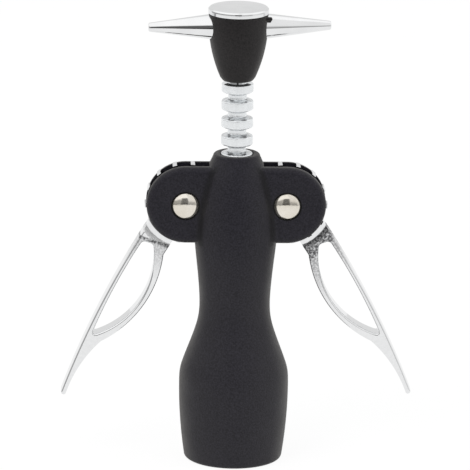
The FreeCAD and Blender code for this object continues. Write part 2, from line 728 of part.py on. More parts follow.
def make_rack(document, s, f):
    """The ringed sleeve that both gears drive and that the spindle turns in."""
    body = new_body(document, "rack_sleeve")
    core = Outline(body, "core_outline")
    core.start(s["spindle_radius"] + s["spindle_gap"], f.sleeve_low)
    core.line(s["ring_core_radius"], f.sleeve_low)
    core.line(s["ring_core_radius"], f.sleeve_high)
    core.line(s["spindle_radius"] + s["spindle_gap"], f.sleeve_high)
    core.close()
    turned(body, "Revolution", core, "core")

    edge = s["ring_edge"]
    half = s["ring_width"] / 2
    slack = 1 - math.sqrt(0.5)
    root = s["ring_core_radius"] - s["ring_sink"]
    flank = half + (s["ring_radius"] - root) * tangent(s["flank_angle"])
    shoulder = half + edge * tangent(s["flank_angle"])
    ring = Outline(body, "ring_outline")
    ring.start(root, f.low_ring - flank)
    ring.line(s["ring_radius"] - edge, f.low_ring - shoulder)
    ring.arc(s["ring_radius"] - edge * slack, f.low_ring - half + edge * slack,
             s["ring_radius"], f.low_ring - half + edge)
    ring.line(s["ring_radius"], f.low_ring + half - edge)
    ring.arc(s["ring_radius"] - edge * slack, f.low_ring + half - edge * slack,
             s["ring_radius"] - edge, f.low_ring + shoulder)
    ring.line(root, f.low_ring + flank)
    ring.close()
    first = turned(body, "Revolution", ring, "lowest_ring")
    steps = s["rings_above"] + s["rings_below"] - 1
    repeated(body, "LinearPattern", first, "rings",
             {"Direction": (ring.sketch, ["V_Axis"])},
             {"Length": steps * s["rack_pitch"], "Occurrences": steps + 1})
    place(body)


def make_worm(document, s, f):
    """The turning spindle: plain shank above, open wire worm below."""
    body = new_body(document, "worm_spindle")
    radius = s["spindle_radius"]
    groove = radius - s["groove_depth"]
    foot = f.worm_top - s["worm_wire_radius"] - s["socket_margin"]
    crest = f.worm_top + s["worm_wire_radius"] + s["socket_margin"]
    socket = s["worm_mean_radius"] + s["worm_wire_radius"] + s["socket_margin"]
    shank = Outline(body, "shank_outline")
    shank.start(0, foot)
    shank.line(socket, foot)
    shank.line(socket, crest)
    shank.line(radius, crest + socket - radius)
    shank.line(radius, f.clip_foot)
    shank.line(groove, f.clip_foot)
    shank.line(groove, f.clip_top)
    shank.line(radius, f.clip_top)
    shank.line(radius, f.spindle_top - s["groove_depth"])
    shank.line(groove, f.spindle_top)
    shank.line(0, f.spindle_top)
    shank.close()
    turned(body, "Revolution", shank, "shank")

    wire = Outline(body, "wire_outline")
    wire.circle(s["worm_mean_radius"], f.worm_low, s["worm_wire_radius"])
    coil = body.newObject("PartDesign::AdditiveHelix", "coil")
    coil.Profile = wire.sketch
    coil.ReferenceAxis = (wire.sketch, ["V_Axis"])
    coil.Mode = "pitch-turns-angle"
    coil.Pitch = s["worm_pitch"].value
    coil.Turns = s["worm_turns"].value
    coil.setExpression("Pitch", s["worm_pitch"].text)
    coil.setExpression("Turns", s["worm_turns"].text)
    settled(body, coil)

    inside = s["worm_mean_radius"] - s["worm_wire_radius"] + s["worm_point_blunt"]
    reach = s["worm_mean_radius"] + 2 * s["worm_wire_radius"]
    grind = Outline(body, "grind_outline", plane="XY_Plane",
                    lift=f.worm_low - 2 * s["worm_wire_radius"])
    grind.start(inside, -s["worm_wire_radius"])
    grind.line(2 * reach, -s["worm_wire_radius"])
    grind.line(2 * reach, reach * sine(s["worm_point_turn"]))
    grind.line(reach * cosine(s["worm_point_turn"]), reach * sine(s["worm_point_turn"]))
    grind.line(inside, 0)
    grind.close()
    point = body.newObject("PartDesign::Pocket", "ground_point")
    point.Profile = grind.sketch
    point.Reversed = True
    point.setExpression("Length", (s["worm_pitch"] / 2 + 2 * s["worm_wire_radius"]).text)
    settled(body, point)
    place(body)


def make_washer(document, label, inner, outer, thickness, height):
    """A flat washer about the tool's axis."""
    body = new_body(document, label)
    ring = Outline(body, "ring_outline")
    ring.start(inner, 0)
    ring.line(outer, 0)
    ring.line(outer, thickness)
    ring.line(inner, thickness)
    ring.close()
    turned(body, "Revolution", ring, "ring")
    place(body, z=height)


def make_clip(document, s, f):
    """The open clip that holds the rack on the spindle from below."""
    body = new_body(document, "spindle_clip")
    ring = Outline(body, "ring_outline", plane="XY_Plane")
    ring.circle(0, 0, s["clip_radius"])
    ring.circle(0, 0, s["spindle_radius"] - s["groove_depth"])
    pad = body.newObject("PartDesign::Pad", "ring")
    pad.Profile = ring.sketch
    pad.setExpression("Length", s["clip_thickness"].text)
    settled(body, pad)
    mouth = Outline(body, "mouth_outline", plane="XY_Plane")
    mouth.start(0, -s["clip_opening"] / 2)
    mouth.line(2 * s["clip_radius"], -s["clip_opening"] / 2)
    mouth.line(2 * s["clip_radius"], s["clip_opening"] / 2)
    mouth.line(0, s["clip_opening"] / 2)
    mouth.close()
    thickened(body, "Pocket", mouth, "mouth", 4 * s["clip_thickness"])
    place(body, z=f.clip_foot)


def make_hub(document, s, f):
    """The black flared hub that joins spindle and crossbar."""
    body = new_body(document, "handle_hub")
    floor = s["bar_rise"] - s["nut_well_drop"]
    ledge = s["hub_rise"] - s["cap_spigot_depth"]
    skin = Outline(body, "skin_outline")
    skin.start(s["spindle_radius"], 0)
    skin.line(s["hub_foot_radius"], 0)
    skin.line(s["hub_low_radius"], s["hub_low_radius"] - s["hub_foot_radius"])
    skin.arc(s["hub_middle_radius"], s["hub_middle_rise"], s["hub_radius"], s["hub_flare_rise"])
    skin.line(s["hub_radius"], s["hub_rise"])
    skin.line(s["cap_spigot_radius"], s["hub_rise"])
    skin.line(s["cap_spigot_radius"], ledge)
    skin.line(s["nut_well_radius"], ledge)
    skin.line(s["nut_well_radius"], floor)
    skin.line(s["spindle_radius"], floor)
    skin.close()
    turned(body, "Revolution", skin, "flare")

    cross = Outline(body, "cross_outline", plane="YZ_Plane")
    cross.circle(0, s["bar_rise"], s["spigot_radius"])
    thickened(body, "Pocket", cross, "cross_bore", 4 * s["hub_radius"])
    for name, side in (("left", LEFT), ("right", RIGHT)):
        seat = Outline(body, f"{name}_seat_outline", plane="YZ_Plane", lift=side * s["bar_seat"])
        seat.circle(0, s["bar_rise"], s["bar_root_radius"])
        pocket = body.newObject("PartDesign::Pocket", f"{name}_seat")
        pocket.Profile = seat.sketch
        pocket.Reversed = side == RIGHT
        pocket.setExpression("Length", s["hub_radius"].text)
        settled(body, pocket)
    place(body, z=f.hub_height, axis=(0, 0, 1), turn=s["handle_turn"])


def make_bar(document, s, f, name, side):
    """One tapered half of the crossbar, pressed into the hub."""
    body = new_body(document, f"{name}_crossbar")
    edge = s["bar_tip_round"]
    slack = 1 - math.sqrt(0.5)
    profile = Outline(body, "bar_outline", turn=Size(-90 * side, f"({-90 * side})"))
    profile.start(0, s["spigot_start"])
    profile.line(s["spigot_radius"], s["spigot_start"])
    profile.line(s["spigot_radius"], s["bar_seat"])
    profile.line(s["bar_root_radius"], s["bar_seat"])
    profile.line(s["bar_tip_radius"], s["bar_reach"] - edge)
    profile.arc(s["bar_tip_radius"] - edge * slack, s["bar_reach"] - edge * slack,
                s["bar_tip_radius"] - edge, s["bar_reach"])
    profile.line(0, s["bar_reach"])
    profile.close()
    turned(body, "Revolution", profile, "bar")
    place(body, z=f.bar_height, axis=(0, 0, 1), turn=s["handle_turn"])


def make_nut(document, s, f):
    """The nut that holds the hub on the spindle, under the cap."""
    body = new_body(document, "spindle_nut")
    hexagon = Outline(body, "nut_outline", plane="XY_Plane")
    corner = s["nut_flats"] / math.sqrt(3)
    half = s["nut_flats"] / 2
    hexagon.start(corner, 0)
    hexagon.line(corner / 2, half)
    hexagon.line(-corner / 2, half)
    hexagon.line(-corner, 0)
    hexagon.line(-corner / 2, -half)
    hexagon.line(corner / 2, -half)
    hexagon.close()
    hexagon.circle(0, 0, s["spindle_radius"])
    pad = body.newObject("PartDesign::Pad", "nut")
    pad.Profile = hexagon.sketch
    pad.setExpression("Length", s["nut_height"].text)
    settled(body, pad)
    place(body, z=f.nut_height)


def make_cap(document, s, f):
    """The plain disc that closes the hub."""
    body = new_body(document, "top_cap")
    edge = s["cap_edge"]
    slack = 1 - math.sqrt(0.5)
    top = s["cap_thickness"]
    profile = Outline(body, "cap_outline")
    profile.start(0, -s["cap_spigot_depth"])
    profile.line(s["cap_spigot_radius"], -s["cap_spigot_depth"])
    profile.line(s["cap_spigot_radius"], 0)
    profile.line(s["cap_radius"], 0)
    profile.line(s["cap_radius"], top - edge)
    profile.arc(s["cap_radius"] - edge * slack, top - edge * slack, s["cap_radius"] - edge, top)
    profile.line(0, top)
    profile.close()
    turned(body, "Revolution", profile, "cap")
    place(body, z=f.cap_height)


def export(document):
    """Check every object, then write each body to parts/ under its label."""
    document.recompute()
    for item in document.Objects:
        if "Invalid" in item.State or "Error" in item.State:
            raise RuntimeError(f"{item.Label} failed: {item.State}")
    bodies = [item for item in document.Objects if item.TypeId == "PartDesign::Body"]
    for body in bodies:
        if body.Shape.isNull() or not body.Shape.isValid() or not body.Shape.Solids:
            raise RuntimeError(f"{body.Label} has no valid solid")
    os.makedirs("parts", exist_ok=True)
    for body in bodies:
        body.Shape.exportStep(f"parts/{body.Label}.step")
        box = body.Shape.BoundBox
        print(f"{body.Label}: {len(body.Shape.Solids)} solid, {body.Shape.Volume:.0f} mm3, "
              f"x {box.XMin:.1f}..{box.XMax:.1f}, y {box.YMin:.1f}..{box.YMax:.1f}, "
              f"z {box.ZMin:.1f}..{box.ZMax:.1f}")


def main():
    document = FreeCAD.newDocument("wing_corkscrew")
    s = make_sheet(document)
    f = Fits(s)
    make_casting(document, s, f)
    make_bottle_seat(document, s, f)
    arm_angles = {LEFT: s["left_arm_angle"], RIGHT: s["right_arm_angle"]}
    for name, side in (("left", LEFT), ("right", RIGHT)):
        make_rivet(document, s, f, name, side)
        make_rivet_cap(document, s, f, name, side)
        make_gear_washers(document, s, f, name, side)
        make_lever(document, s, f, name, side, arm_angles[side])
        make_bar(document, s, f, name, side)
    make_rack(document, s, f)
    make_worm(document, s, f)
    make_clip(document, s, f)
    make_washer(document, "thrust_washer", s["spindle_radius"] + s["spindle_gap"],
                s["ring_core_radius"], s["thrust_thickness"], f.thrust_height)
    make_hub(document, s, f)
    make_washer(document, "nut_washer", s["spindle_radius"], s["nut_washer_radius"],
                s["nut_washer_thickness"], f.well_floor)
    make_nut(document, s, f)
    make_cap(document, s, f)
    export(document)


main()
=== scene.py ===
"""Looks for the wing corkscrew: modelled pieces, finishes, studio and camera.

Frame: metres, +Z up, X across the two levers, Y front to back, origin in the bell's mouth.
Sizes are written in millimetres and multiplied by MM where they meet Blender.
"""

from __future__ import annotations

import json
import logging
import math
from abc import ABC, abstractmethod
from dataclasses import dataclass
from enum import Enum
from functools import partial, reduce

import bpy
from mathutils import Euler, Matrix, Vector

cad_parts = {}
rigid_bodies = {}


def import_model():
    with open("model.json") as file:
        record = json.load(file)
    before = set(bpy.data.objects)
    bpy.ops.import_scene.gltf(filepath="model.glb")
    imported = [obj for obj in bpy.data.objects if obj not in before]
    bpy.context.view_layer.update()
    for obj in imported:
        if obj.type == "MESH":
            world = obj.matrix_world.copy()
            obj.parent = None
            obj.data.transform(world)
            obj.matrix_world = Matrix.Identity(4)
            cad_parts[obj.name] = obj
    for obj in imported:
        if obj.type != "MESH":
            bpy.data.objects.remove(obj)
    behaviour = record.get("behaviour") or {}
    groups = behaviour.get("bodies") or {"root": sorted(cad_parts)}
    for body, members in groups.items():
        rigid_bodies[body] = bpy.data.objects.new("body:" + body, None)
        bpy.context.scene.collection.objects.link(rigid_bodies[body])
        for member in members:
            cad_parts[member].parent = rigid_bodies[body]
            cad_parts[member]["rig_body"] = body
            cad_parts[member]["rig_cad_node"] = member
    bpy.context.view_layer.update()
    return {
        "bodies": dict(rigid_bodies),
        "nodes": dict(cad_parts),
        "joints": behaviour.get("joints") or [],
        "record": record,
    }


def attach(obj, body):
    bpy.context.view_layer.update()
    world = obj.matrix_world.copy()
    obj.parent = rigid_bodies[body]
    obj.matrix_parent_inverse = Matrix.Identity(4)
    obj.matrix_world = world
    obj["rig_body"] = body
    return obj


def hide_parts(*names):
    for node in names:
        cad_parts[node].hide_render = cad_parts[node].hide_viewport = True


LOG = logging.getLogger("wing_corkscrew")
MM = 0.001
PIVOT_X = 18.1003
PIVOT_Z = 94.4
FULL_TURN = 2 * math.pi
MERGE_METRES = 1e-6
SMOOTH_DEGREES = 32.0
FLAT_DEGREES = 28.0
FLAT_WEIGHT = 50
MIDDLE = Vector((0, 0, 0))
UPRIGHT = Euler((0, 0, 0))
TO_FRONT = Euler((math.radians(90), 0, 0))
TO_REAR = Euler((math.radians(-90), 0, 0))

Point = tuple[float, float]
Corner = tuple[float, float, float]
Colour = tuple[float, float, float]
Piece = bpy.types.Object
Socket = bpy.types.NodeSocket
Value = Socket | float


class Side(Enum):
    """The two sides of the tool, by the sign of X."""

    LEFT = -1
    RIGHT = 1

    @property
    def word(self) -> str:
        """The side's name as the nodes spell it."""
        return self.name.lower()

    @property
    def pivot(self) -> Vector:
        """Where this side's rivet crosses the middle plane, in millimetres."""
        return Vector((self.value * PIVOT_X, 0, PIVOT_Z))


class Join(Enum):
    """What one piece does to another."""

    CUT = "DIFFERENCE"
    WELD = "UNION"


class Contour:
    """A flat outline in millimetres, drawn corner by corner with rounded corners."""

    def __init__(self, start: Point) -> None:
        """Begin at a point."""
        self.corners: list[tuple[Point, float]] = [(start, 0.0)]

    def to(self, x: float, y: float, rounding: float = 0.0) -> Contour:
        """Go straight to a corner of some radius, and give the contour itself back."""
        self.corners.append(((x, y), rounding))
        return self

    def through(self, middle: Point, end: Point, steps: int, rounding: float = 0.0) -> Contour:
        """Follow the circle through a middle point to an end point.

        Args:
            middle: A point on the way.
            end: The last point.
            steps: Number of straight pieces.
            rounding: Radius of the corner at the end point.

        Returns:
            The contour itself.
        """
        (x1, y1), (x2, y2), (x3, y3) = self.corners[-1][0], middle, end
        d = 2 * (x1 * (y2 - y3) + x2 * (y3 - y1) + x3 * (y1 - y2))
        s1, s2, s3 = x1 * x1 + y1 * y1, x2 * x2 + y2 * y2, x3 * x3 + y3 * y3
        cx = (s1 * (y2 - y3) + s2 * (y3 - y1) + s3 * (y1 - y2)) / d
        cy = (s1 * (x3 - x2) + s2 * (x1 - x3) + s3 * (x2 - x1)) / d
        radius = math.hypot(x1 - cx, y1 - cy)
        first, halfway, last = (math.atan2(y - cy, x - cx) for x, y in ((x1, y1), middle, end))
        sweep = (last - first) % FULL_TURN
        if (halfway - first) % FULL_TURN > sweep:
            sweep -= FULL_TURN
        for step in range(1, steps + 1):
            turn = first + sweep * step / steps
            self.to(cx + radius * math.cos(turn), cy + radius * math.sin(turn),
                    rounding if step == steps else 0.0)
        return self

    def points(self, steps: int = 5) -> list[Point]:
        """The outline as plain points.

        Args:
            steps: Straight pieces in each rounded corner.

        Returns:
            The points in order.
        """
        spots = [Vector(spot) for spot, _ in self.corners]
        result: list[Point] = []
        index = 0
        while index < len(spots):
            here, rounding = spots[index], self.corners[index][1]
            if not rounding or index == len(spots) - 1:
                result.append(tuple(here))
                index += 1
                continue
            last, index = spots[index - 1], index + 1
            while True:
                before, after = (last - here).normalized(), (spots[index] - here).normalized()
                half = before.angle(after) / 2
                reach = rounding / math.tan(half)
                if (last - here).length < reach:
                    result.pop()
                    last = Vector(result[-1])
                elif (spots[index] - here).length < reach:
                    index += 1
                else:
                    break
            middle = here + (before + after).normalized() * (rounding / math.sin(half))
            start = (here + before * reach - middle).normalized()
            end = (here + after * reach - middle).normalized()
            for step in range(steps + 1):
                result.append(tuple(start.slerp(end, step / steps) * rounding + middle))
        return result


class Bench:
    """Everyday moves on meshes."""

    @staticmethod
    def clear() -> None:
        """Deselect everything."""
        for other in bpy.context.selected_objects:
            other.select_set(False)

    @classmethod
    def alone(cls, piece: Piece) -> None:
        """Select one object and nothing else, and make it active.

        Args:
            piece: The object.
        """
        cls.clear()
        piece.select_set(True)
        bpy.context.view_layer.objects.active = piece

    @classmethod
    def wire(cls, name: str, points: list[Vector]) -> Piece:
        """Draw a line by extruding one vertex from point to point.

        Args:
            name: Name of the new object.
            points: Where it goes, in millimetres.

        Returns:
            The object, in edit mode and selected all over.
        """
        cls.clear()
        bpy.ops.mesh.primitive_plane_add(size=MM)
        piece = bpy.context.active_object
        piece.name = name
        piece.data.name = name
        bpy.ops.object.mode_set(mode="EDIT")
        bpy.ops.mesh.select_all(action="SELECT")
        bpy.ops.mesh.merge(type="CENTER")
        bpy.ops.transform.translate(value=points[0] * MM)
        for here, there in zip(points, points[1:]):
            bpy.ops.mesh.extrude_vertices_move(
                TRANSFORM_OT_translate={"value": (there - here) * MM}
            )
        bpy.ops.mesh.select_all(action="SELECT")
        return piece

    @classmethod
    def turned(cls, name: str, outline: list[Point], facets: int) -> Piece:
        """Turn an outline of radius and height about the upright axis.

        Args:
            name: Name of the new object.
            outline: Points (radius, height) in millimetres.
            facets: Faces round the full circle.

        Returns:
            The closed piece, in object mode.
        """
        piece = cls.wire(name, [Vector((r, 0.0, z)) for r, z in outline])
        bpy.ops.mesh.spin(steps=facets, angle=FULL_TURN, center=(0, 0, 0), axis=(0, 0, 1))
        return cls.closed(piece)

    @classmethod
    def plate(cls, name: str, outline: list[Point], depth: float) -> Piece:
        """Fill an outline of X and Z and thicken it to both sides.

        Args:
            name: Name of the new object.
            outline: Points (x, z) in millimetres.
            depth: Thickness along Y in millimetres.

        Returns:
            The closed piece, in object mode.
        """
        piece = cls.wire(name, [Vector((x, -depth / 2, z)) for x, z in outline])
        bpy.ops.mesh.edge_face_add()
        bpy.ops.mesh.extrude_region_move(
            TRANSFORM_OT_translate={"value": (0, depth * MM, 0)}
        )
        return cls.closed(piece)

    @staticmethod
    def closed(piece: Piece) -> Piece:
        """Merge doubles, turn the faces outwards and leave edit mode.

        Args:
            piece: The object in edit mode.

        Returns:
            The same object, in object mode.
        """
        bpy.ops.mesh.select_all(action="SELECT")
        bpy.ops.mesh.remove_doubles(threshold=MERGE_METRES)
        bpy.ops.mesh.normals_make_consistent(inside=False)
        bpy.ops.object.mode_set(mode="OBJECT")
        return piece

    @classmethod
    def put(cls, piece: Piece, place: Vector = MIDDLE, turn: Euler = UPRIGHT) -> Piece:
        """Turn and move a piece and keep its place in its mesh.

        Args:
            piece: The object.
            place: Where its origin goes, in millimetres.
            turn: How it is turned first.

        Returns:
            The same object.
        """
        cls.alone(piece)
        piece.rotation_euler = turn
        piece.location = place * MM
        bpy.ops.object.transform_apply(location=True, rotation=True, scale=True)
        return piece

    @classmethod
    def smooth(cls, piece: Piece, degrees: float = SMOOTH_DEGREES) -> Piece:
        """Shade smoothly where faces meet at less than an angle.

        Args:
            piece: The object.
            degrees: The angle.

        Returns:
            The same object.
        """
        cls.alone(piece)
        bpy.ops.object.shade_smooth_by_angle(angle=math.radians(degrees))
        return piece

    @classmethod
    def apply(cls, piece: Piece, kind: str, **settings: object) -> Piece:
        """Add one modifier and apply it at once.

        Args:
            piece: The object.
            kind: The modifier's type.
            **settings: Its settings.

        Returns:
            The same object.
        """
        cls.alone(piece)
        modifier = piece.modifiers.new(kind.lower(), kind)
        for key, value in settings.items():
            setattr(modifier, key, value)
        bpy.ops.object.modifier_apply(modifier=modifier.name)
        return piece

    @classmethod
    def weighted(cls, piece: Piece) -> Piece:
        """Shade smoothly, with large faces kept flat, and give the object back."""
        cls.smooth(piece, FLAT_DEGREES)
        return cls.apply(piece, "WEIGHTED_NORMAL", keep_sharp=True, weight=FLAT_WEIGHT)

    @classmethod
    def combine(cls, piece: Piece, other: Piece, join: Join) -> Piece:
        """Cut another piece away or weld it on, and use it up.

        Args:
            piece: The object that changes.
            other: The object that is used up.
            join: Whether it cuts or is welded on.

        Returns:
            The first object.
        """
        cls.apply(piece, "BOOLEAN", operation=join.value, solver="EXACT", object=other)
        bpy.data.objects.remove(other)
        return piece

    @staticmethod
    def copied(piece: Piece, name: str) -> Piece:
        """A copy with its own mesh.

        Args:
            piece: The object.
            name: Name of the copy.

        Returns:
            The copy.
        """
        copy = piece.copy()
        copy.data = piece.data.copy()
        copy.name = name
        copy.data.name = name
        bpy.context.scene.collection.objects.link(copy)
        return copy

    @classmethod
    def carried_over(cls, node: Piece, name: str) -> Piece:
        """A merged, smoothly shaded copy of a frame node.

        Args:
            node: The frame's own object.
            name: Name of the copy.

        Returns:
            The copy, free of the node's parent.
        """
        piece = cls.copied(node, name)
        piece.parent = None
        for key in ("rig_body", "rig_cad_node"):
            del piece[key]
        cls.alone(piece)
        bpy.ops.object.mode_set(mode="EDIT")
        bpy.ops.mesh.select_all(action="SELECT")
        bpy.ops.mesh.remove_doubles(threshold=MERGE_METRES)
        bpy.ops.object.mode_set(mode="OBJECT")
        return cls.weighted(piece)

    @classmethod
    def mirrored(cls, piece: Piece) -> Piece:
        """Mirror a piece from one side of the tool to the other.

        Args:
            piece: The object, in object mode.

        Returns:
            The same object.
        """
        cls.alone(piece)
        piece.scale.x = -1.0
        bpy.ops.object.transform_apply(location=False, rotation=False, scale=True)
        bpy.ops.object.mode_set(mode="EDIT")
        return cls.closed(piece)


class Wiring:
    """A node tree being put together."""

    def __init__(self, tree: bpy.types.NodeTree) -> None:
        """Keep the tree."""
        self.tree = tree

    def node(self, kind: str, **settings: object) -> bpy.types.Node:
        """Add a node.

        Args:
            kind: Its type.
            **settings: Attributes to set on it.

        Returns:
            The node.
        """
        node = self.tree.nodes.new(kind)
        for key, value in settings.items():
            setattr(node, key, value)
        return node

    def feed(self, value: Value | Colour, socket: Socket) -> None:
        """Link a socket, or set a plain value, on another socket.

        Args:
            value: What feeds it.
            socket: What is fed.
        """
        if isinstance(value, Socket):
            self.tree.links.new(value, socket)
        else:
            socket.default_value = (*value, 1.0) if isinstance(value, tuple) else value

    def math(self, operation: str, *values: Value) -> Socket:
        """Work out one sum.

        Args:
            operation: The math node's operation.
            *values: Its values.

        Returns:
            The result.
        """
        node = self.node("ShaderNodeMath", operation=operation)
        for value, socket in zip(values, node.inputs):
            self.feed(value, socket)
        return node.outputs["Value"]

    def times(self, *values: Value) -> Value:
        """The product of some values."""
        return reduce(partial(self.math, "MULTIPLY"), values)

    def most(self, *values: Value) -> Value:
        """The largest of some values."""
        return reduce(partial(self.math, "MAXIMUM"), values)

    def length(self, x: Value, y: Value) -> Socket:
        """The length of a flat vector."""
        return self.math("SQRT", self.math("ADD", self.times(x, x), self.times(y, y)))

    def step(self, value: Value, start: float, end: float) -> Socket:
        """A soft step from 0 at start to 1 at end.

        Args:
            value: What is stepped.
            start: Where the step begins.
            end: Where it ends, which may be lower.

        Returns:
            The factor.
        """
        node = self.node("ShaderNodeMapRange", interpolation_type="SMOOTHSTEP")
        for name, setting in (("Value", value), ("From Min", start), ("From Max", end)):
            self.feed(setting, node.inputs[name])
        return node.outputs["Result"]

    def window(self, value: Value, low: float, high: float, soft: float) -> Socket:
        """1 between two limits, falling to 0 within a soft edge outside them."""
        return self.times(self.step(value, low - soft, low), self.step(value, high + soft, high))

    def blend(self, factor: Value, first: Value | Colour, second: Value | Colour) -> Socket:
        """Mix two colours.

        Args:
            factor: Share of the second.
            first: Colour at 0.
            second: Colour at 1.

        Returns:
            The colour.
        """
        mix = self.node("ShaderNodeMix", data_type="RGBA")
        for name, setting in (("Factor", factor), ("A", first), ("B", second)):
            self.feed(setting, mix.inputs[name])
        return mix.outputs["Result"]

    def mixed(self, factor: Value, first: Socket, second: Socket) -> Socket:
        """Mix two shaders.

        Args:
            factor: Share of the second.
            first: Shader at 0.
            second: Shader at 1.

        Returns:
            The mixed shader.
        """
        mix = self.node("ShaderNodeMixShader")
        for value, socket in zip((factor, first, second), mix.inputs):
            self.feed(value, socket)
        return mix.outputs["Shader"]

    def white(self, kind: str, strength: Value) -> Socket:
        """A plain white glow of one strength.

        Args:
            kind: Emission on a surface, Background around everything.
            strength: How bright it is.

        Returns:
            The shader.
        """
        node = self.node(f"ShaderNode{kind}")
        self.feed((1.0, 1.0, 1.0), node.inputs["Color"])
        self.feed(strength, node.inputs["Strength"])
        return node.outputs[kind]

    def parts(self, vector: Socket) -> tuple[Socket, ...]:
        """The three parts of a vector.

        Args:
            vector: The vector.

        Returns:
            Its x, y and z.
        """
        split = self.node("ShaderNodeSeparateXYZ")
        self.feed(vector, split.inputs["Vector"])
        return tuple(split.outputs)


class Recipe(Wiring):
    """A material being put together on one Principled shader."""

    def __init__(self, name: str) -> None:
        """Begin a material.

        Args:
            name: Its name.
        """
        self.material = bpy.data.materials.new(name)
        self.material.use_nodes = True
        super().__init__(self.material.node_tree)
        self.shader = self.tree.nodes["Principled BSDF"]
        self.place = self.node("ShaderNodeTexCoord").outputs["Object"]

    def settle(self, **inputs: Value | Colour) -> Recipe:
        """Set or link the shader's sockets.

        Args:
            **inputs: Socket names with underscores for spaces, and what feeds them.

        Returns:
            The recipe itself.
        """
        for key, value in inputs.items():
            self.feed(value, self.shader.inputs[key.replace("_", " ")])
        return self

    def between(self, value: Value, first: float, last: float, start: float = 0.0,
                end: float = 1.0) -> Socket:
        """Map a value's range to new limits.

        Args:
            value: What is mapped.
            first: Result at start.
            last: Result at end.
            start: Value that gives first.
            end: Value that gives last.

        Returns:
            The mapped value.
        """
        ramp = self.node("ShaderNodeMapRange")
        names = ("Value", "From Min", "From Max", "To Min", "To Max")
        for name, setting in zip(names, (value, start, end, first, last)):
            self.feed(setting, ramp.inputs[name])
        return ramp.outputs["Result"]

    def noise(self, size: float, detail: float = 2.0, low: float = 0.3,
              high: float = 0.7) -> Socket:
        """Noise whose patches have about one size.

        Args:
            size: Size of a patch in millimetres.
            detail: Octaves.
            low: Raw value that gives 0.
            high: Raw value that gives 1.

        Returns:
            The factor, from 0 to 1.
        """
        noise = self.node("ShaderNodeTexNoise")
        settings = (("Vector", self.place), ("Scale", 1 / (size * MM)), ("Detail", detail))
        for name, setting in settings:
            self.feed(setting, noise.inputs[name])
        return self.between(noise.outputs["Fac"], 0.0, 1.0, low, high)

    def bump(self, height: Value, depth: float) -> Socket:
        """Raise the surface by a height.

        Args:
            height: From 0 to 1.
            depth: Rise in millimetres at 1.

        Returns:
            The new normal.
        """
        bump = self.node("ShaderNodeBump")
        self.feed(height, bump.inputs["Height"])
        self.feed(depth * MM, bump.inputs["Distance"])
        return bump.outputs["Normal"]

    def spot(self) -> tuple[Socket, ...]:
        """The place's x, y and z in millimetres."""
        return tuple(self.math("DIVIDE", part, MM) for part in self.parts(self.place))

    def from_pivot(self) -> tuple[Socket, Socket]:
        """Millimetres outwards and upwards from the nearer pivot."""
        x, _, z = self.spot()
        return (self.math("SUBTRACT", self.math("ABSOLUTE", x), PIVOT_X),
                self.math("SUBTRACT", z, PIVOT_Z))

    def pivot_distance(self) -> Socket:
        """Distance in millimetres from the nearer pivot's axis."""
        return self.length(*self.from_pivot())


@dataclass(frozen=True)
class SoftTouch:
    """Black rubbery coating with a fine grain, a painted sheen where it is seen edge-on, painted
    light low on the body, and painted shade in the rivet recesses and along the folds by the ears.

    Lengths are in millimetres, and a pair gives two limits.
    """

    dark: Colour = (0.0048, 0.0042, 0.0078)
    light: Colour = (0.0215, 0.0200, 0.0280)
    # Painted light: the pale colour seen edge-on is a painted sheen, and the crease colour is
    # painted shade.
    glance: Colour = (0.105, 0.100, 0.095)
    crease: Colour = (0.0010, 0.0008, 0.0008)
    grain: float = 0.55
    grain_detail: float = 3.0
    grain_depth: float = 0.03
    specular: float = 0.26
    roughness: Point = (0.50, 0.60)
    cloud: float = 9.0
    slant: Point = (0.35, 1.0)
    slant_share: float = 0.74
    gentle: Point = (0.3, 0.0)
    low: Point = (82.0, 60.0)
    low_share: float = 0.05
    recess: Point = (4.3, 5.15)
    recess_edge: float = 0.05
    fold_out: float = 13.0
    fold_drop: float = 12.0
    fold_bend: float = 0.0072
    fold_half: float = 0.3
    fold_edge: float = 1.5
    fold_share: float = 0.6
    ear: float = 13.9
    ear_edge: float = 1.0
    ear_face: Point = (5.2, 6.1)

    def folds(self, recipe: Recipe) -> Value:
        """Painted shade along the creases where the column stands out of the ears.

        Args:
            recipe: The material being put together.

        Returns:
            The factor, 1 where the crease is painted dark.
        """
        x, y, z = recipe.spot()
        rise = recipe.math("SUBTRACT", z, PIVOT_Z)
        bend = recipe.math("POWER", recipe.math("ADD", rise, self.fold_drop), 2.0)
        line = recipe.math("SUBTRACT", self.fold_out, recipe.times(bend, self.fold_bend))
        aside = recipe.math("SUBTRACT", recipe.math("ABSOLUTE", x), line)
        return recipe.times(recipe.window(aside, -self.fold_half, self.fold_half, self.fold_edge),
                            recipe.step(recipe.math("ABSOLUTE", y), *self.ear_face),
                            recipe.window(rise, -self.ear, self.ear, self.ear_edge),
                            self.fold_share)

    def build(self, name: str) -> bpy.types.Material:
        """Make the material.

        Args:
            name: Its name.

        Returns:
            The material.
        """
        recipe = Recipe(name).settle(Specular_IOR_Level=self.specular)
        grain = recipe.noise(self.grain, self.grain_detail)
        # Painted sheen: the surface turns paler where it is seen edge-on.
        facing = recipe.node("ShaderNodeLayerWeight").outputs["Facing"]
        slanted = recipe.times(recipe.step(facing, *self.slant), self.slant_share)
        gentle = recipe.times(facing, recipe.between(facing, *self.gentle))
        # Painted light: the body turns a little paler towards the bottom.
        painted_low_light = recipe.times(recipe.step(recipe.spot()[2], *self.low), self.low_share)
        share = recipe.math("ADD", recipe.math("ADD", slanted, gentle), painted_low_light)
        sheen = recipe.blend(share, recipe.blend(grain, self.dark, self.light), self.glance)
        # Painted shade: the ring round each rivet recess and the folds by the ears take the dark
        # crease colour.
        ring = recipe.window(recipe.pivot_distance(), *self.recess, self.recess_edge)
        painted_shade = recipe.most(ring, self.folds(recipe))
        recipe.settle(Base_Color=recipe.blend(painted_shade, sheen, self.crease),
                      Roughness=recipe.between(recipe.noise(self.cloud), *self.roughness),
                      Normal=recipe.bump(grain, self.grain_depth))
        return recipe.material


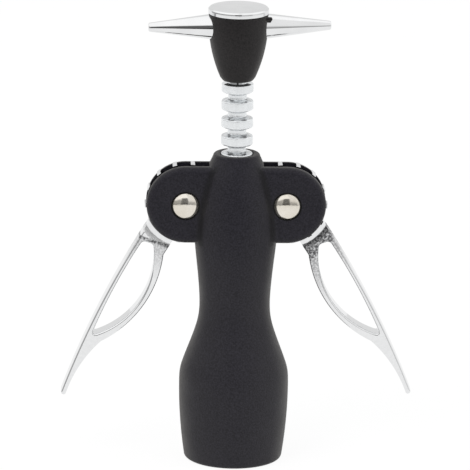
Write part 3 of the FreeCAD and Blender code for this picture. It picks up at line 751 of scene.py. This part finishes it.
@dataclass(frozen=True)
class Plain:
    """One tone with faint clouds and ripples, whose sizes are in millimetres."""

    dark: Colour
    light: Colour
    metallic: float
    roughness: float
    spread: float = 0.15
    cloud: float = 1.2
    detail: float = 3.0
    ripple: float = 0.006
    ripple_size: float = 0.3

    def ground(self, recipe: Recipe) -> tuple[Socket, Socket]:
        """Ripple the surface and work out its clouds.

        Args:
            recipe: The material being put together.

        Returns:
            The colour and the roughness.
        """
        recipe.settle(Normal=recipe.bump(recipe.noise(self.ripple_size), self.ripple))
        cloud = recipe.noise(self.cloud, self.detail)
        return (recipe.blend(cloud, self.dark, self.light),
                recipe.between(cloud, self.roughness, self.roughness + self.spread))

    def build(self, name: str) -> bpy.types.Material:
        """Make the material.

        Args:
            name: Its name.

        Returns:
            The material.
        """
        recipe = Recipe(name).settle(Metallic=self.metallic)
        colour, rough = self.ground(recipe)
        return recipe.settle(Base_Color=colour, Roughness=rough).material


@dataclass(frozen=True)
class Chrome(Plain):
    """Bright plated metal over a polished casting."""

    dark: Colour = (0.82, 0.825, 0.83)
    light: Colour = (0.88, 0.885, 0.89)
    metallic: float = 1.0
    roughness: float = 0.04
    spread: float = 0.04
    cloud: float = 6.0
    ripple: float = 0.004
    ripple_size: float = 4.0


@dataclass(frozen=True)
class Nickel(Chrome):
    """Warm polished nickel of the rivets."""

    dark: Colour = (0.74, 0.69, 0.60)
    light: Colour = (0.86, 0.82, 0.75)
    metallic: float = 0.92
    roughness: float = 0.08
    ripple: float = 0.006
    ripple_size: float = 0.5


@dataclass(frozen=True)
class RingChrome(Chrome):
    """Plated sleeve with painted reflections: dark mottles on the upper flanks of its rings,
    stronger towards the sides; polished on the crown.

    Lengths are in millimetres: the sides from the middle plane, the crown above the mouth.
    """

    dark: Colour = (0.82, 0.84, 0.855)
    light: Colour = (0.90, 0.92, 0.935)
    metallic: float = 0.75
    roughness: float = 0.15
    spread: float = 0.06
    cloud: float = 1.5
    ripple: float = 0.007
    ripple_size: float = 1.4
    # The mottle colour is a painted dark reflection.
    mottle: Colour = (0.20, 0.20, 0.205)
    mottle_size: float = 1.2
    mottle_detail: float = 4.0
    mottle_range: Point = (0.38, 0.60)
    upward: Point = (0.55, 0.85)
    sides: Point = (1.5, 3.0)
    sides_edge: float = 0.6
    middle_share: float = 0.35
    crown: Point = (138.0, 137.8)
    crown_roughness: float = 0.2

    def build(self, name: str) -> bpy.types.Material:
        """Make the material.

        Args:
            name: Its name.

        Returns:
            The material.
        """
        recipe = Recipe(name)
        metal, rough = self.ground(recipe)
        x, _, z = recipe.spot()
        aside = recipe.window(recipe.math("ABSOLUTE", x), *self.sides, self.sides_edge)
        upward = recipe.parts(recipe.node("ShaderNodeTexCoord").outputs["Normal"])[2]
        marked = recipe.step(z, *self.crown)
        # Painted reflections: dark mottles on upward faces, stronger to the sides and none on the
        # crown.
        spots = recipe.times(recipe.step(upward, *self.upward),
                             recipe.between(aside, self.middle_share, 1.0),
                             recipe.noise(self.mottle_size, self.mottle_detail, *self.mottle_range),
                             marked)
        recipe.settle(Base_Color=recipe.blend(spots, metal, self.mottle),
                      Metallic=recipe.between(marked, 1.0, self.metallic),
                      Roughness=recipe.times(rough, recipe.between(marked, self.crown_roughness, 1.0)))
        return recipe.material


@dataclass(frozen=True)
class CastChrome(Chrome):
    """Plated lever: bright arm, painted dark reflections in noisy spots about the root, dark gear
    with bright tooth tips.

    Lengths are in millimetres: gear edge, face and slope from the pivot's axis, band and
    trail along a line that leans outwards by some degrees from hanging straight down.
    """

    cloud: float = 0.7
    detail: float = 4.0
    # The dark colour is a painted reflection.
    pit: Colour = (0.075, 0.075, 0.08)
    gear: Colour = (0.10, 0.10, 0.105)
    gear_edge: Point = (14.3, 14.1)
    lean: float = 20.0
    band: Point = (16.5, 17.1)
    band_edge: float = 0.6
    trail: Point = (30.0, 17.6)
    trail_share: float = 0.42
    face: Point = (15.7, 16.1)
    slope: Point = (15.9, 17.7)
    slope_edge: float = 0.2
    slope_share: float = 0.1
    slope_metallic: float = 0.35
    pit_size: float = 0.75
    pit_detail: float = 5.0
    pit_range: Point = (0.27, 0.57)
    pit_share: float = 0.92
    pit_roughness: float = 0.45

    def build(self, name: str) -> bpy.types.Material:
        """Make the material.

        Args:
            name: Its name.

        Returns:
            The material.
        """
        recipe = Recipe(name)
        plate, _ = self.ground(recipe)
        out, rise = recipe.from_pivot()
        away = recipe.pivot_distance()
        lean = math.radians(self.lean)
        along = recipe.math("SUBTRACT", recipe.times(out, math.sin(lean)),
                            recipe.times(rise, math.cos(lean)))
        # Painted dark reflection: a band and a trail along the leaning line and the root slope,
        # broken into noise spots, darken the plate.
        band = recipe.window(along, *self.band, self.band_edge)
        trail = recipe.times(recipe.step(along, *self.trail),
                             recipe.step(along, self.band[0] - self.band_edge, self.band[0]),
                             self.trail_share)
        slope = recipe.window(away, *self.slope, self.slope_edge)
        weak = recipe.times(slope, self.slope_share)
        reflection_spots = recipe.times(recipe.noise(self.pit_size, self.pit_detail, *self.pit_range),
                            recipe.step(away, *self.face))
        patch = recipe.times(recipe.most(band, trail, weak), reflection_spots)
        marked = recipe.blend(recipe.times(patch, self.pit_share), plate, self.pit)
        rough = recipe.between(recipe.most(slope, patch), self.roughness, self.pit_roughness)
        recipe.settle(Base_Color=recipe.blend(recipe.step(away, *self.gear_edge), marked, self.gear),
                      Metallic=recipe.between(slope, self.metallic, self.slope_metallic),
                      Roughness=rough)
        return recipe.material


@dataclass(frozen=True)
class Finish:
    """A material and the slot that it fills."""

    slot: str
    material: bpy.types.Material


class Finishes:
    """Every finish of the tool, made once."""

    def __init__(self) -> None:
        """Make them all."""
        hub = SoftTouch(dark=(0.0046, 0.0040, 0.0042), light=(0.0185, 0.0160, 0.0168))
        # The painted dark reflection differs per side: on the right lever it leans further, is wider
        # and darker.
        right = CastChrome(lean=45.0, band=(15.6, 20.4), band_edge=1.0, trail=(36.0, 20.0),
                           trail_share=0.6, slope_share=0.5, slope_metallic=1.0)
        handle = Chrome(ripple=0.003, ripple_size=2.5)
        worm = Chrome(dark=(0.70, 0.70, 0.71), light=(0.78, 0.78, 0.79), roughness=0.12)
        steel = Plain(dark=(0.42, 0.42, 0.43), light=(0.52, 0.52, 0.53), metallic=1.0,
                      roughness=0.3)
        plastic = Plain(dark=(0.030, 0.030, 0.033), light=(0.042, 0.042, 0.045), metallic=0.0,
                        roughness=0.5)
        nylon = Plain(dark=(0.62, 0.60, 0.54), light=(0.72, 0.70, 0.64), metallic=0.0,
                      roughness=0.45)
        self.black = Finish("soft_black", SoftTouch().build("black_coating"))
        self.hub = Finish("soft_black", hub.build("hub_coating"))
        self.levers = {
            Side.LEFT: Finish("lever_chrome", CastChrome().build("left_lever_plating")),
            Side.RIGHT: Finish("lever_chrome", right.build("right_lever_plating")),
        }
        self.rack = Finish("rack_chrome", RingChrome().build("rack_plating"))
        self.handle = Finish("handle_chrome", handle.build("handle_plating"))
        self.worm = Finish("worm_chrome", worm.build("worm_plating"))
        self.nickel = Finish("rivet_nickel", Nickel().build("rivet_metal"))
        self.steel = Finish("plain_steel", steel.build("bare_metal"))
        self.seat = Finish("seat_plastic", plastic.build("seat_rubber"))
        self.nylon = Finish("washer_nylon", nylon.build("washer_plastic"))


class Assembly(ABC):
    """A group of pieces that is built, dressed and set on its body."""

    def __init__(self, frame: dict, finishes: Finishes) -> None:
        """Keep the frame's nodes and the tool's finishes."""
        self.nodes: dict[str, Piece] = frame["nodes"]
        self.finishes = finishes

    @abstractmethod
    def build(self) -> None:
        """Make and dress the group."""

    @staticmethod
    def coat(piece: Piece, finish: Finish) -> None:
        """Give an object one material in place of any others."""
        piece.data.materials.clear()
        piece.data.materials.append(finish.material)

    def dress(self, piece: Piece, finish: Finish, body: str, node: str) -> None:
        """Give a new piece its finish and its body, and hide the node it stands for.

        Args:
            piece: The finished mesh.
            finish: Its finish.
            body: The body that it rides on.
            node: The frame node that it replaces.
        """
        self.coat(piece, finish)
        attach(piece, body)
        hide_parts(node)
        LOG.info("%s: %d faces on %s", piece.name, len(piece.data.polygons), body)

    def repaint(self, node: str, finish: Finish) -> None:
        """Give a node that stays its finish."""
        self.coat(self.nodes[node], finish)
        LOG.info("%s: carried over", node)


@dataclass
class SlotSizes:
    """Where each gear's slot opens at the top of the ears, in millimetres."""

    start: float = 9.7
    end: float = 18.1
    low: float = 104.0
    high: float = 112.0
    width: float = 5.9


class Casting(Assembly):
    """The black body with its seat ring."""

    sizes = SlotSizes()

    def build(self) -> None:
        """Open the gear slots of the body, and dress body and seat ring."""
        s = self.sizes
        shell = Bench.carried_over(self.nodes["body_casting"], "black_body")
        for side in Side:
            near, far = side.value * s.start, side.value * s.end
            outline = [(near, s.low), (far, s.low), (far, s.high), (near, s.high)]
            Bench.combine(shell, Bench.plate("slot_cutter", outline, s.width), Join.CUT)
        self.dress(shell, self.finishes.black, "body", "body_casting")
        seat = Bench.carried_over(self.nodes["bottle_seat"], "seat_ring")
        self.dress(seat, self.finishes.seat, "body", "bottle_seat")


@dataclass
class RivetSizes:
    """Sizes of a pivot rivet, in millimetres.

    The head drops from its crown by a sum of terms, each a depth and the power with which it
    grows towards the rim.
    """

    shank: float = 2.5
    head: float = 4.7
    rise: float = 1.9
    seat: float = 5.7
    drops: tuple[Point, ...] = ((0.78, 2), (0.39, 4), (0.38, 14))
    dome_steps: int = 24
    facets: int = 64


class Rivets(Assembly):
    """The two pivot rivets with their rear caps and the gear washers."""

    sizes = RivetSizes()

    def dome(self, start: Point) -> Contour:
        """A domed head from the axis out to its rim.

        Args:
            start: First point of the contour.

        Returns:
            The contour down to the head's underside.
        """
        s = self.sizes
        contour = Contour(start).to(0, s.seat + s.rise)
        for step in range(1, s.dome_steps + 1):
            share = math.sin(math.pi / 2 * step / s.dome_steps)
            drop = sum(depth * share ** power for depth, power in s.drops)
            contour.to(s.head * share, s.seat + s.rise - drop)
        return contour.to(s.head, s.seat)

    def build(self) -> None:
        """Model a rivet and a cap, set copies of both on either pivot and dress all."""
        s = self.sizes
        shank = self.dome((0, -s.seat)).to(s.shank, s.seat).to(s.shank, -s.seat).to(0, -s.seat)
        cap = self.dome((0, s.seat)).to(0, s.seat)
        models = (
            (Bench.turned("pivot_rivet", shank.points(), s.facets), "rivet", TO_FRONT),
            (Bench.turned("rear_cap", cap.points(), s.facets), "rivet_cap", TO_REAR),
        )
        for side in Side:
            for model, node, turn in models:
                piece = Bench.copied(model, f"{side.word}_{model.name}")
                Bench.smooth(Bench.put(piece, side.pivot, turn))
                self.dress(piece, self.finishes.nickel, "body", f"{side.word}_{node}")
            self.repaint(f"{side.word}_gear_washers", self.finishes.nylon)
        for model, _, _ in models:
            bpy.data.objects.remove(model)


@dataclass
class LeverSizes:
    """Sizes of a lever, in millimetres: outwards of the arm line and along it from the pivot.

    Angles are in degrees, and arcs give the number of their straight pieces.
    """

    left_angle: float = 31.4
    right_angle: float = 32.7
    depth: float = 7.6
    edge_round: float = 0.82
    edge_segments: int = 6
    edge_angle: float = 60.0
    corner: float = 0.8
    root_outer: Point = (7.6, -13.28)
    root_inner: Point = (-3.3, -14.94)
    root_middle: Point = (2.15, -14.11)
    edge_middle: Point = (5.9, -50.5)
    tip: Point = (0.95, -83.0)
    tail_middle: Point = (0.5, -71.0)
    bow_end: Point = (-1.2, -59.0)
    bow_middle: Point = (-7.2, -38.5)
    bow_start: Point = (-3.3, -20.0)
    long_arc: int = 40
    rib_arc: int = 30
    tail_arc: int = 24
    rib: float = 1.8
    bow: float = 2.1
    window_rib: Point = (5.8, -19.5)
    window_far: Point = (2.9, -58.8)
    window_near: Point = (1.9, -18.6)
    window_round: float = 1.5
    slope: tuple[Point, Point] = ((16.0, 2.55), (17.6, 3.8))
    slope_facets: int = 180
    ear: float = 13.9
    web: tuple[Point, ...] = ((7.6, -7.0), (7.6, -15.28), (-3.3, -16.94), (-3.3, -7.0))
    gear_depth: float = 5.1
    gear_root: float = 12.09
    gear_tip: float = 14.55
    tooth_root: float = 1.02
    tooth_tip: float = 0.757
    teeth: int = 14
    tooth_turn: float = 2.81
    bore: float = 2.56
    bore_facets: int = 48

    def angle(self, side: Side) -> float:
        """The arm's angle from hanging straight down, in degrees."""
        return self.left_angle if side is Side.LEFT else self.right_angle


class Levers(Assembly):
    """The two chrome levers."""

    sizes = LeverSizes()

    def window(self) -> Piece:
        """The body of the opening between rib and bow.

        Returns:
            The cutter.
        """
        s = self.sizes
        start = tuple((near + rib) / 2 for near, rib in zip(s.window_near, s.window_rib))
        rib_middle = (s.edge_middle[0] - s.rib, s.edge_middle[1])
        bow_middle = (s.bow_middle[0] + s.bow, s.bow_middle[1])
        outline = Contour(start).to(*s.window_rib, s.window_round)
        outline.through(rib_middle, s.window_far, s.rib_arc, s.corner)
        outline.through(bow_middle, s.window_near, s.long_arc, s.window_round).to(*start)
        return Bench.plate("window_cutter", outline.points()[:-1], 2 * s.depth)

    def arm(self) -> Piece:
        """The windowed arm, hanging straight down on the right side.

        Returns:
            The piece, with its pivot at the origin.
        """
        s = self.sizes
        outline = Contour(s.root_middle).to(*s.root_outer)
        outline.through(s.edge_middle, s.tip, s.long_arc, s.corner)
        outline.to(-s.tip[0], s.tip[1], s.corner)
        outline.through(s.tail_middle, s.bow_end, s.tail_arc, s.corner)
        outline.through(s.bow_middle, s.bow_start, s.long_arc, s.corner).to(*s.root_inner)
        arm = Bench.plate("arm", outline.points(), s.depth)
        Bench.combine(arm, self.window(), Join.CUT)
        Bench.apply(arm, "BEVEL", width=s.edge_round * MM, segments=s.edge_segments,
                    limit_method="ANGLE", angle_limit=math.radians(s.edge_angle), loop_slide=False)
        (start, face), (stop, high) = s.slope
        for turn in (TO_FRONT, TO_REAR):
            profile = Contour((s.ear, face)).to(start, face).to(stop, high).to(stop, s.depth)
            profile.to(s.ear, s.depth).to(s.ear, face)
            ring = Bench.turned("slope_cutter", profile.points(), s.slope_facets)
            Bench.combine(arm, Bench.put(ring, turn=turn), Join.CUT)
        return Bench.combine(arm, Bench.plate("web", list(s.web), s.gear_depth), Join.WELD)

    def gear(self) -> Piece:
        """The toothed disc, with one tooth along +X.

        Returns:
            The piece, with its pivot at the origin.
        """
        s = self.sizes
        pitch = FULL_TURN / s.teeth
        foot = math.atan2(s.tooth_root, s.gear_root)
        crest = math.hypot(s.gear_tip, s.tooth_tip), math.atan2(s.tooth_tip, s.gear_tip)
        spots = [(s.gear_root, -foot), (crest[0], -crest[1]), crest, (s.gear_root, foot),
                 (s.gear_root, pitch / 2)]
        points = [(radius * math.cos(turn + tooth * pitch), radius * math.sin(turn + tooth * pitch))
                  for tooth in range(s.teeth) for radius, turn in spots]
        gear = Bench.plate("gear", points, s.gear_depth)
        axle = Contour((0, -s.depth)).to(s.bore, -s.depth).to(s.bore, s.depth).to(0, s.depth)
        bore = Bench.turned("bore_cutter", axle.points(), s.bore_facets)
        return Bench.combine(gear, Bench.put(bore, turn=TO_FRONT), Join.CUT)

    def build(self) -> None:
        """Make and dress a lever on either side from one arm and one gear."""
        s = self.sizes
        arm, gear = self.arm(), self.gear()
        for side in Side:
            lever = Bench.copied(arm, f"{side.word}_lever_arm")
            if side is Side.LEFT:
                Bench.mirrored(lever)
            swing = -side.value * math.radians(s.angle(side))
            Bench.put(lever, turn=Euler((0, swing, 0)))
            wheel = Bench.copied(gear, f"{side.word}_gear")
            turn = s.tooth_turn if side is Side.LEFT else 180 - s.tooth_turn
            Bench.put(wheel, turn=Euler((0, -math.radians(turn), 0)))
            Bench.combine(lever, wheel, Join.WELD)
            Bench.put(lever, side.pivot)
            self.dress(Bench.weighted(lever), self.finishes.levers[side],
                       f"{side.word}_arm", f"{side.word}_lever")
        for model in (arm, gear):
            bpy.data.objects.remove(model)


@dataclass
class RackSizes:
    """Sizes of the ringed sleeve, in millimetres, with its flanks in degrees."""

    bore: float = 2.06
    core: float = 3.3
    rim: float = 5.66
    width: float = 3.1
    edge: float = 0.55
    flank: float = 20.0
    cove: float = 0.35
    pitch: float = 6.4
    low: float = 79.1
    rings: int = 10
    foot: float = 75.15
    foot_edge: float = 0.3
    crest: float = 139.2
    crest_edge: float = 0.03
    top_drop: float = 0.2
    top_edge: float = 0.25
    top_flank: float = 4.0
    top_cove: float = 0.1
    facets: int = 72

    def climb(self, flank: float) -> float:
        """Height that a flank of one slant gains between rim and core."""
        return (self.rim - self.core) * math.tan(math.radians(flank))


class Rack(Assembly):
    """The ringed sleeve between the gears."""

    sizes = RackSizes()

    def build(self) -> None:
        """Make and dress the sleeve."""
        s = self.sizes
        contour = Contour((s.bore, s.foot)).to(s.core, s.foot, s.foot_edge)
        for ring in range(s.rings):
            low = s.low + ring * s.pitch - s.width / 2
            high = low + s.width
            contour.to(s.core, low - s.climb(s.flank), s.cove).to(s.rim, low, s.edge)
            if ring < s.rings - 1:
                contour.to(s.rim, high, s.edge).to(s.core, high + s.climb(s.flank), s.cove)
        high -= s.top_drop
        contour.to(s.rim, high, s.top_edge).to(s.core, high + s.climb(s.top_flank), s.top_cove)
        contour.to(s.core, s.crest, s.crest_edge).to(s.bore, s.crest).to(s.bore, s.foot)
        sleeve = Bench.turned("ringed_sleeve", contour.points(), s.facets)
        self.dress(Bench.weighted(sleeve), self.finishes.rack, "rack", "rack_sleeve")


@dataclass
class HandleSizes:
    """Sizes of hub, crossbar and cap, in millimetres.

    Heights of hub and cap are above their undersides, the crossbar's halves are measured
    outwards from the hub's axis, the cap's rim is a row of corners with their radii, and the
    turn is in degrees.
    """

    foot: float = 139.6
    hub_foot: float = 5.4
    foot_edge: float = 0.2
    recess: float = 3.7
    recess_depth: float = 0.25
    hub_low: float = 6.3
    hub_middle: Point = (9.45, 10.6)
    hub_flare: Point = (10.6, 20.0)
    flare_steps: int = 24
    hub_rise: float = 24.1
    rim_edge: float = 0.3
    hub_facets: int = 128
    bore: float = 2.0
    well: float = 4.2
    well_floor: float = 16.75
    ledge: float = 8.8
    ledge_drop: float = 0.7
    bar_rise: float = 19.15
    bar_seat: float = 8.8
    bar_root: float = 4.65
    root_edge: float = 0.12
    bar_tip: float = 1.55
    tip_edge: float = 0.6
    left_reach: float = 32.0
    right_reach: float = 33.0
    spigot: float = 3.0
    spigot_start: float = 4.5
    spigot_room: float = 0.5
    bar_facets: int = 64
    edge_steps: int = 8
    cap_rim: tuple[Corner, ...] = ((10.8, 0, 0.15), (10.8, 1.15, 0.2), (10.74, 1.58, 0.15),
                                   (10.2, 2.02, 0.3))
    cap_dome: Point = (6.0, 2.2)
    cap_height: float = 2.3
    cap_steps: int = 8
    lip: float = 0.75
    lip_edge: float = 0.675
    lip_reach: float = 3.4
    lip_place: Vector = Vector((8.5, -3.7, 22.6))
    lip_facets: int = 24
    turn: float = 4.5

    def sideways(self, side: Side) -> Euler:
        """Turn from upright to along one half of the crossbar."""
        return Euler((0, side.value * math.pi / 2, math.radians(self.turn)))


class Handle(Assembly):
    """Hub, crossbar and cap, which turn with the worm."""

    sizes = HandleSizes()

    def hub(self) -> Piece:
        """The black flared hub.

        Returns:
            The piece.
        """
        s = self.sizes
        start, ledge = s.spigot_start - s.spigot_room, s.hub_rise - s.ledge_drop
        contour = Contour((s.bore, 0)).to(s.recess, 0).to(s.recess, -s.recess_depth)
        contour.to(s.hub_foot, -s.recess_depth, s.foot_edge)
        contour.to(s.hub_low, s.hub_low - s.hub_foot)
        contour.through(s.hub_middle, s.hub_flare, s.flare_steps)
        contour.to(s.hub_flare[0], s.hub_rise, s.rim_edge).to(s.ledge, s.hub_rise)
        contour.to(s.ledge, ledge).to(s.well, ledge).to(s.well, s.well_floor)
        contour.to(s.bore, s.well_floor).to(s.bore, 0)
        hub = Bench.turned("black_hub", contour.points(), s.hub_facets)
        for side in Side:
            outline = Contour((0, start)).to(s.spigot, start).to(s.spigot, s.bar_seat)
            outline.to(s.bar_root, s.bar_seat).to(s.bar_root, 2 * s.bar_seat).to(0, 2 * s.bar_seat)
            seat = Bench.turned("seat_cutter", outline.points(), s.bar_facets)
            Bench.put(seat, Vector((0, 0, s.bar_rise)), s.sideways(side))
            Bench.combine(hub, seat, Join.CUT)
        outline = Contour((0, 0)).to(s.lip, 0).to(s.lip, s.lip_reach, s.lip_edge)
        lip = Bench.turned("seat_lip", outline.to(0, s.lip_reach).to(0, 0).points(), s.lip_facets)
        Bench.combine(hub, Bench.put(lip, s.lip_place, s.sideways(Side.RIGHT)), Join.WELD)
        return Bench.put(hub, Vector((0, 0, s.foot)))

    def bar(self, side: Side) -> Piece:
        """One tapered half of the crossbar.

        Args:
            side: Which half.

        Returns:
            The piece.
        """
        s = self.sizes
        reach = s.left_reach if side is Side.LEFT else s.right_reach
        contour = Contour((0, s.spigot_start)).to(s.spigot, s.spigot_start)
        contour.to(s.spigot, s.bar_seat).to(s.bar_root, s.bar_seat, s.root_edge)
        contour.to(s.bar_tip, reach, s.tip_edge).to(0, reach)
        bar = Bench.turned(f"{side.word}_bar", contour.points(s.edge_steps), s.bar_facets)
        return Bench.put(bar, Vector((0, 0, s.foot + s.bar_rise)), s.sideways(side))

    def cap(self) -> Piece:
        """The bare disc on the hub.

        Returns:
            The piece.
        """
        s = self.sizes
        contour = Contour((0, -s.ledge_drop)).to(s.ledge, -s.ledge_drop).to(s.ledge, 0)
        for corner in s.cap_rim:
            contour.to(*corner)
        contour.through(s.cap_dome, (0, s.cap_height), s.cap_steps)
        cap = Bench.turned("cap_disc", contour.points(), s.hub_facets)
        return Bench.put(cap, Vector((0, 0, s.foot + s.hub_rise)))

    def build(self) -> None:
        """Make and dress hub, crossbar and cap, and dress what they hide."""
        self.dress(Bench.smooth(self.hub()), self.finishes.hub, "handle", "handle_hub")
        for side in Side:
            self.dress(Bench.smooth(self.bar(side)), self.finishes.handle, "handle",
                       f"{side.word}_crossbar")
        self.dress(Bench.weighted(self.cap()), self.finishes.handle, "handle", "top_cap")
        worm = Bench.carried_over(self.nodes["worm_spindle"], "worm")
        self.dress(worm, self.finishes.worm, "handle", "worm_spindle")
        for node in ("spindle_clip", "nut_washer", "spindle_nut"):
            self.repaint(node, self.finishes.steel)
        self.repaint("thrust_washer", self.finishes.nylon)


@dataclass
class StudioSizes:
    """The camera's place and what surrounds the tool, in metres and degrees.

    The rear is given by a direction's part along Y, and brightness and darkness are shares.
    """

    target: Vector = Vector((-0.0002, 0.0, 0.08225))
    distance: float = 2.2
    elevation: float = 15.0
    azimuth: float = -1.7
    roll: float = 0.8
    sensor: float = 36.0
    pixels_per_mm: float = 2.80
    frame_pixels: float = 470.0
    view_end: float = 100.0
    floor_radius: float = 12.0
    floor_facets: int = 64
    floor_colour: Colour = (0.86, 0.86, 0.86)
    floor_roughness: float = 0.9
    seen_floor: float = 1.05
    seen_share: float = 0.88
    mirrored_floor: float = 0.93
    table: Point = (0.72, 0.80)
    room_light: float = 0.62
    mirrored_room: float = 1.08
    rear: Point = (0.5, 0.8)
    rear_rise: Point = (0.0, 40.0)
    rear_soft: float = 20.0
    rear_darkness: float = 0.3
    right: Point = (-70.0, -16.0)
    right_soft: float = 10.0
    right_darkness: float = 0.2


@dataclass
class Thing:
    """Something darker beyond the table: turns to the left and heights in degrees."""

    span: Point
    soft: float
    top: Point
    darkness: float


@dataclass
class Lamp:
    """A soft square lamp: its place and width in metres, its power in watts."""

    name: str
    place: Vector
    width: float
    power: float
    colour: Colour


class Studio:
    """Pale floor, soft light and the camera."""

    sizes = StudioSizes()
    things = (
        Thing(span=(-9.0, 14.0), soft=4.0, top=(28.0, 18.0), darkness=0.96),
        Thing(span=(-50.0, 120.0), soft=6.0, top=(11.0, 3.0), darkness=0.62),
        Thing(span=(19.0, 95.0), soft=8.0, top=(24.0, 10.0), darkness=0.70),
        Thing(span=(-100.0, 100.0), soft=20.0, top=(24.0, 10.0), darkness=0.30),
    )
    lamps = (
        Lamp("key", place=Vector((-1.1, -1.3, 1.7)), width=1.2, power=16.0,
             colour=(1.0, 0.99, 0.97)),
        Lamp("fill", place=Vector((1.6, -0.9, 1.1)), width=1.4, power=7.0,
             colour=(0.97, 0.99, 1.0)),
    )

    def camera(self) -> None:
        """Set the camera at the tool's viewing angle."""
        s = self.sizes
        lens = bpy.data.cameras.new("camera")
        lens.sensor_width = s.sensor
        lens.lens = s.pixels_per_mm / MM * s.sensor * s.distance / s.frame_pixels
        lens.clip_end = s.view_end
        rise, turn = math.radians(s.elevation), math.radians(s.azimuth)
        away = Vector((math.sin(turn) * math.cos(rise), -math.cos(turn) * math.cos(rise),
                       math.sin(rise)))
        camera = bpy.data.objects.new("camera", lens)
        bpy.context.scene.collection.objects.link(camera)
        camera.location = s.target + away * s.distance
        look = (-away).to_track_quat("-Z", "Y")
        tilt = Euler((0, 0, math.radians(s.roll))).to_quaternion()
        camera.rotation_euler = (look @ tilt).to_euler()
        bpy.context.scene.camera = camera

    def hang(self, lamp: Lamp) -> None:
        """Hang one lamp that faces the tool and isn't mirrored.

        Args:
            lamp: What it is and where it goes.
        """
        light = bpy.data.lights.new(lamp.name, "AREA")
        light.size = lamp.width
        light.energy = lamp.power
        light.color = lamp.colour
        hung = bpy.data.objects.new(lamp.name, light)
        bpy.context.scene.collection.objects.link(hung)
        hung.location = lamp.place
        hung.rotation_euler = (self.sizes.target - lamp.place).to_track_quat("-Z", "Y").to_euler()
        hung.visible_glossy = False

    @staticmethod
    def turn(wiring: Wiring, x: Value, y: Value) -> Socket:
        """A direction's turn from the front to the left, in degrees."""
        left, front = wiring.times(x, -1.0), wiring.times(y, -1.0)
        return wiring.math("DEGREES", wiring.math("ARCTAN2", left, front))

    def gloom(self, wiring: Wiring, x: Value, y: Value, rise: Value) -> Value:
        """How dark the room beyond the table is in a direction.

        Args:
            wiring: The node tree.
            x: The direction's part to the right.
            y: Its part to the rear.
            rise: Degrees above the horizon.

        Returns:
            The factor, 1 for black.
        """
        turn = self.turn(wiring, x, y)
        return wiring.most(*(
            wiring.times(wiring.window(turn, *thing.span, thing.soft), thing.darkness,
                         wiring.step(rise, *thing.top))
            for thing in self.things
        ))

    def floor(self) -> None:
        """Lay the pale floor, of which chrome mirrors only the table."""
        s = self.sizes
        Bench.clear()
        bpy.ops.mesh.primitive_circle_add(vertices=s.floor_facets, radius=s.floor_radius,
                                          fill_type="NGON")
        floor = bpy.context.active_object
        floor.name = "floor"
        recipe = Recipe("floor").settle(Base_Color=s.floor_colour, Roughness=s.floor_roughness,
                                        Specular_IOR_Level=0.0)
        x, y, _ = recipe.parts(recipe.place)
        beyond = recipe.times(recipe.step(recipe.length(x, y), *s.table),
                              self.gloom(recipe, x, y, 0.0))
        seen = recipe.white("Emission", s.seen_floor)
        mirrored = recipe.white("Emission", recipe.between(beyond, s.mirrored_floor, 0.0))
        path = recipe.node("ShaderNodeLightPath").outputs
        share = recipe.times(path["Is Camera Ray"], s.seen_share)
        first = recipe.mixed(share, recipe.shader.outputs["BSDF"], seen)
        second = recipe.mixed(path["Is Glossy Ray"], first, mirrored)
        recipe.feed(second, recipe.tree.nodes["Material Output"].inputs["Surface"])
        floor.data.materials.append(recipe.material)

    def room(self) -> None:
        """Surround the tool with a white room and the darker things that its chrome mirrors."""
        s = self.sizes
        world = bpy.data.worlds.new("room")
        bpy.context.scene.world = world
        world.use_nodes = True
        sky = Wiring(world.node_tree)
        x, y, z = sky.parts(sky.node("ShaderNodeTexCoord").outputs["Generated"])
        rise = sky.math("DEGREES", sky.math("ARCSINE", z))
        rear = sky.times(sky.step(y, *s.rear), sky.window(rise, *s.rear_rise, s.rear_soft),
                         s.rear_darkness)
        right = sky.times(sky.window(self.turn(sky, x, y), *s.right, s.right_soft),
                          s.right_darkness)
        dark = sky.most(rear, right, self.gloom(sky, x, y, rise))
        plain = sky.white("Background", s.room_light)
        mirrored = sky.white("Background", sky.math("SUBTRACT", s.mirrored_room, dark))
        seen = sky.white("Background", 1.0)
        path = sky.node("ShaderNodeLightPath").outputs
        first = sky.mixed(path["Is Glossy Ray"], plain, mirrored)
        second = sky.mixed(path["Is Camera Ray"], first, seen)
        sky.feed(second, sky.tree.nodes["World Output"].inputs["Surface"])

    def build(self) -> None:
        """Set up camera, floor, room and lamps."""
        bpy.context.scene.view_settings.view_transform = "Standard"
        self.camera()
        self.floor()
        self.room()
        for lamp in self.lamps:
            self.hang(lamp)


def main() -> None:
    """Build the tool around the frame."""
    logging.basicConfig(level=logging.INFO, format="%(name)s: %(message)s")
    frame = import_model()
    Studio().build()
    finishes = Finishes()
    for group in (Casting, Rivets, Levers, Rack, Handle):
        group(frame, finishes).build()


if __name__ == "__main__":
    main()
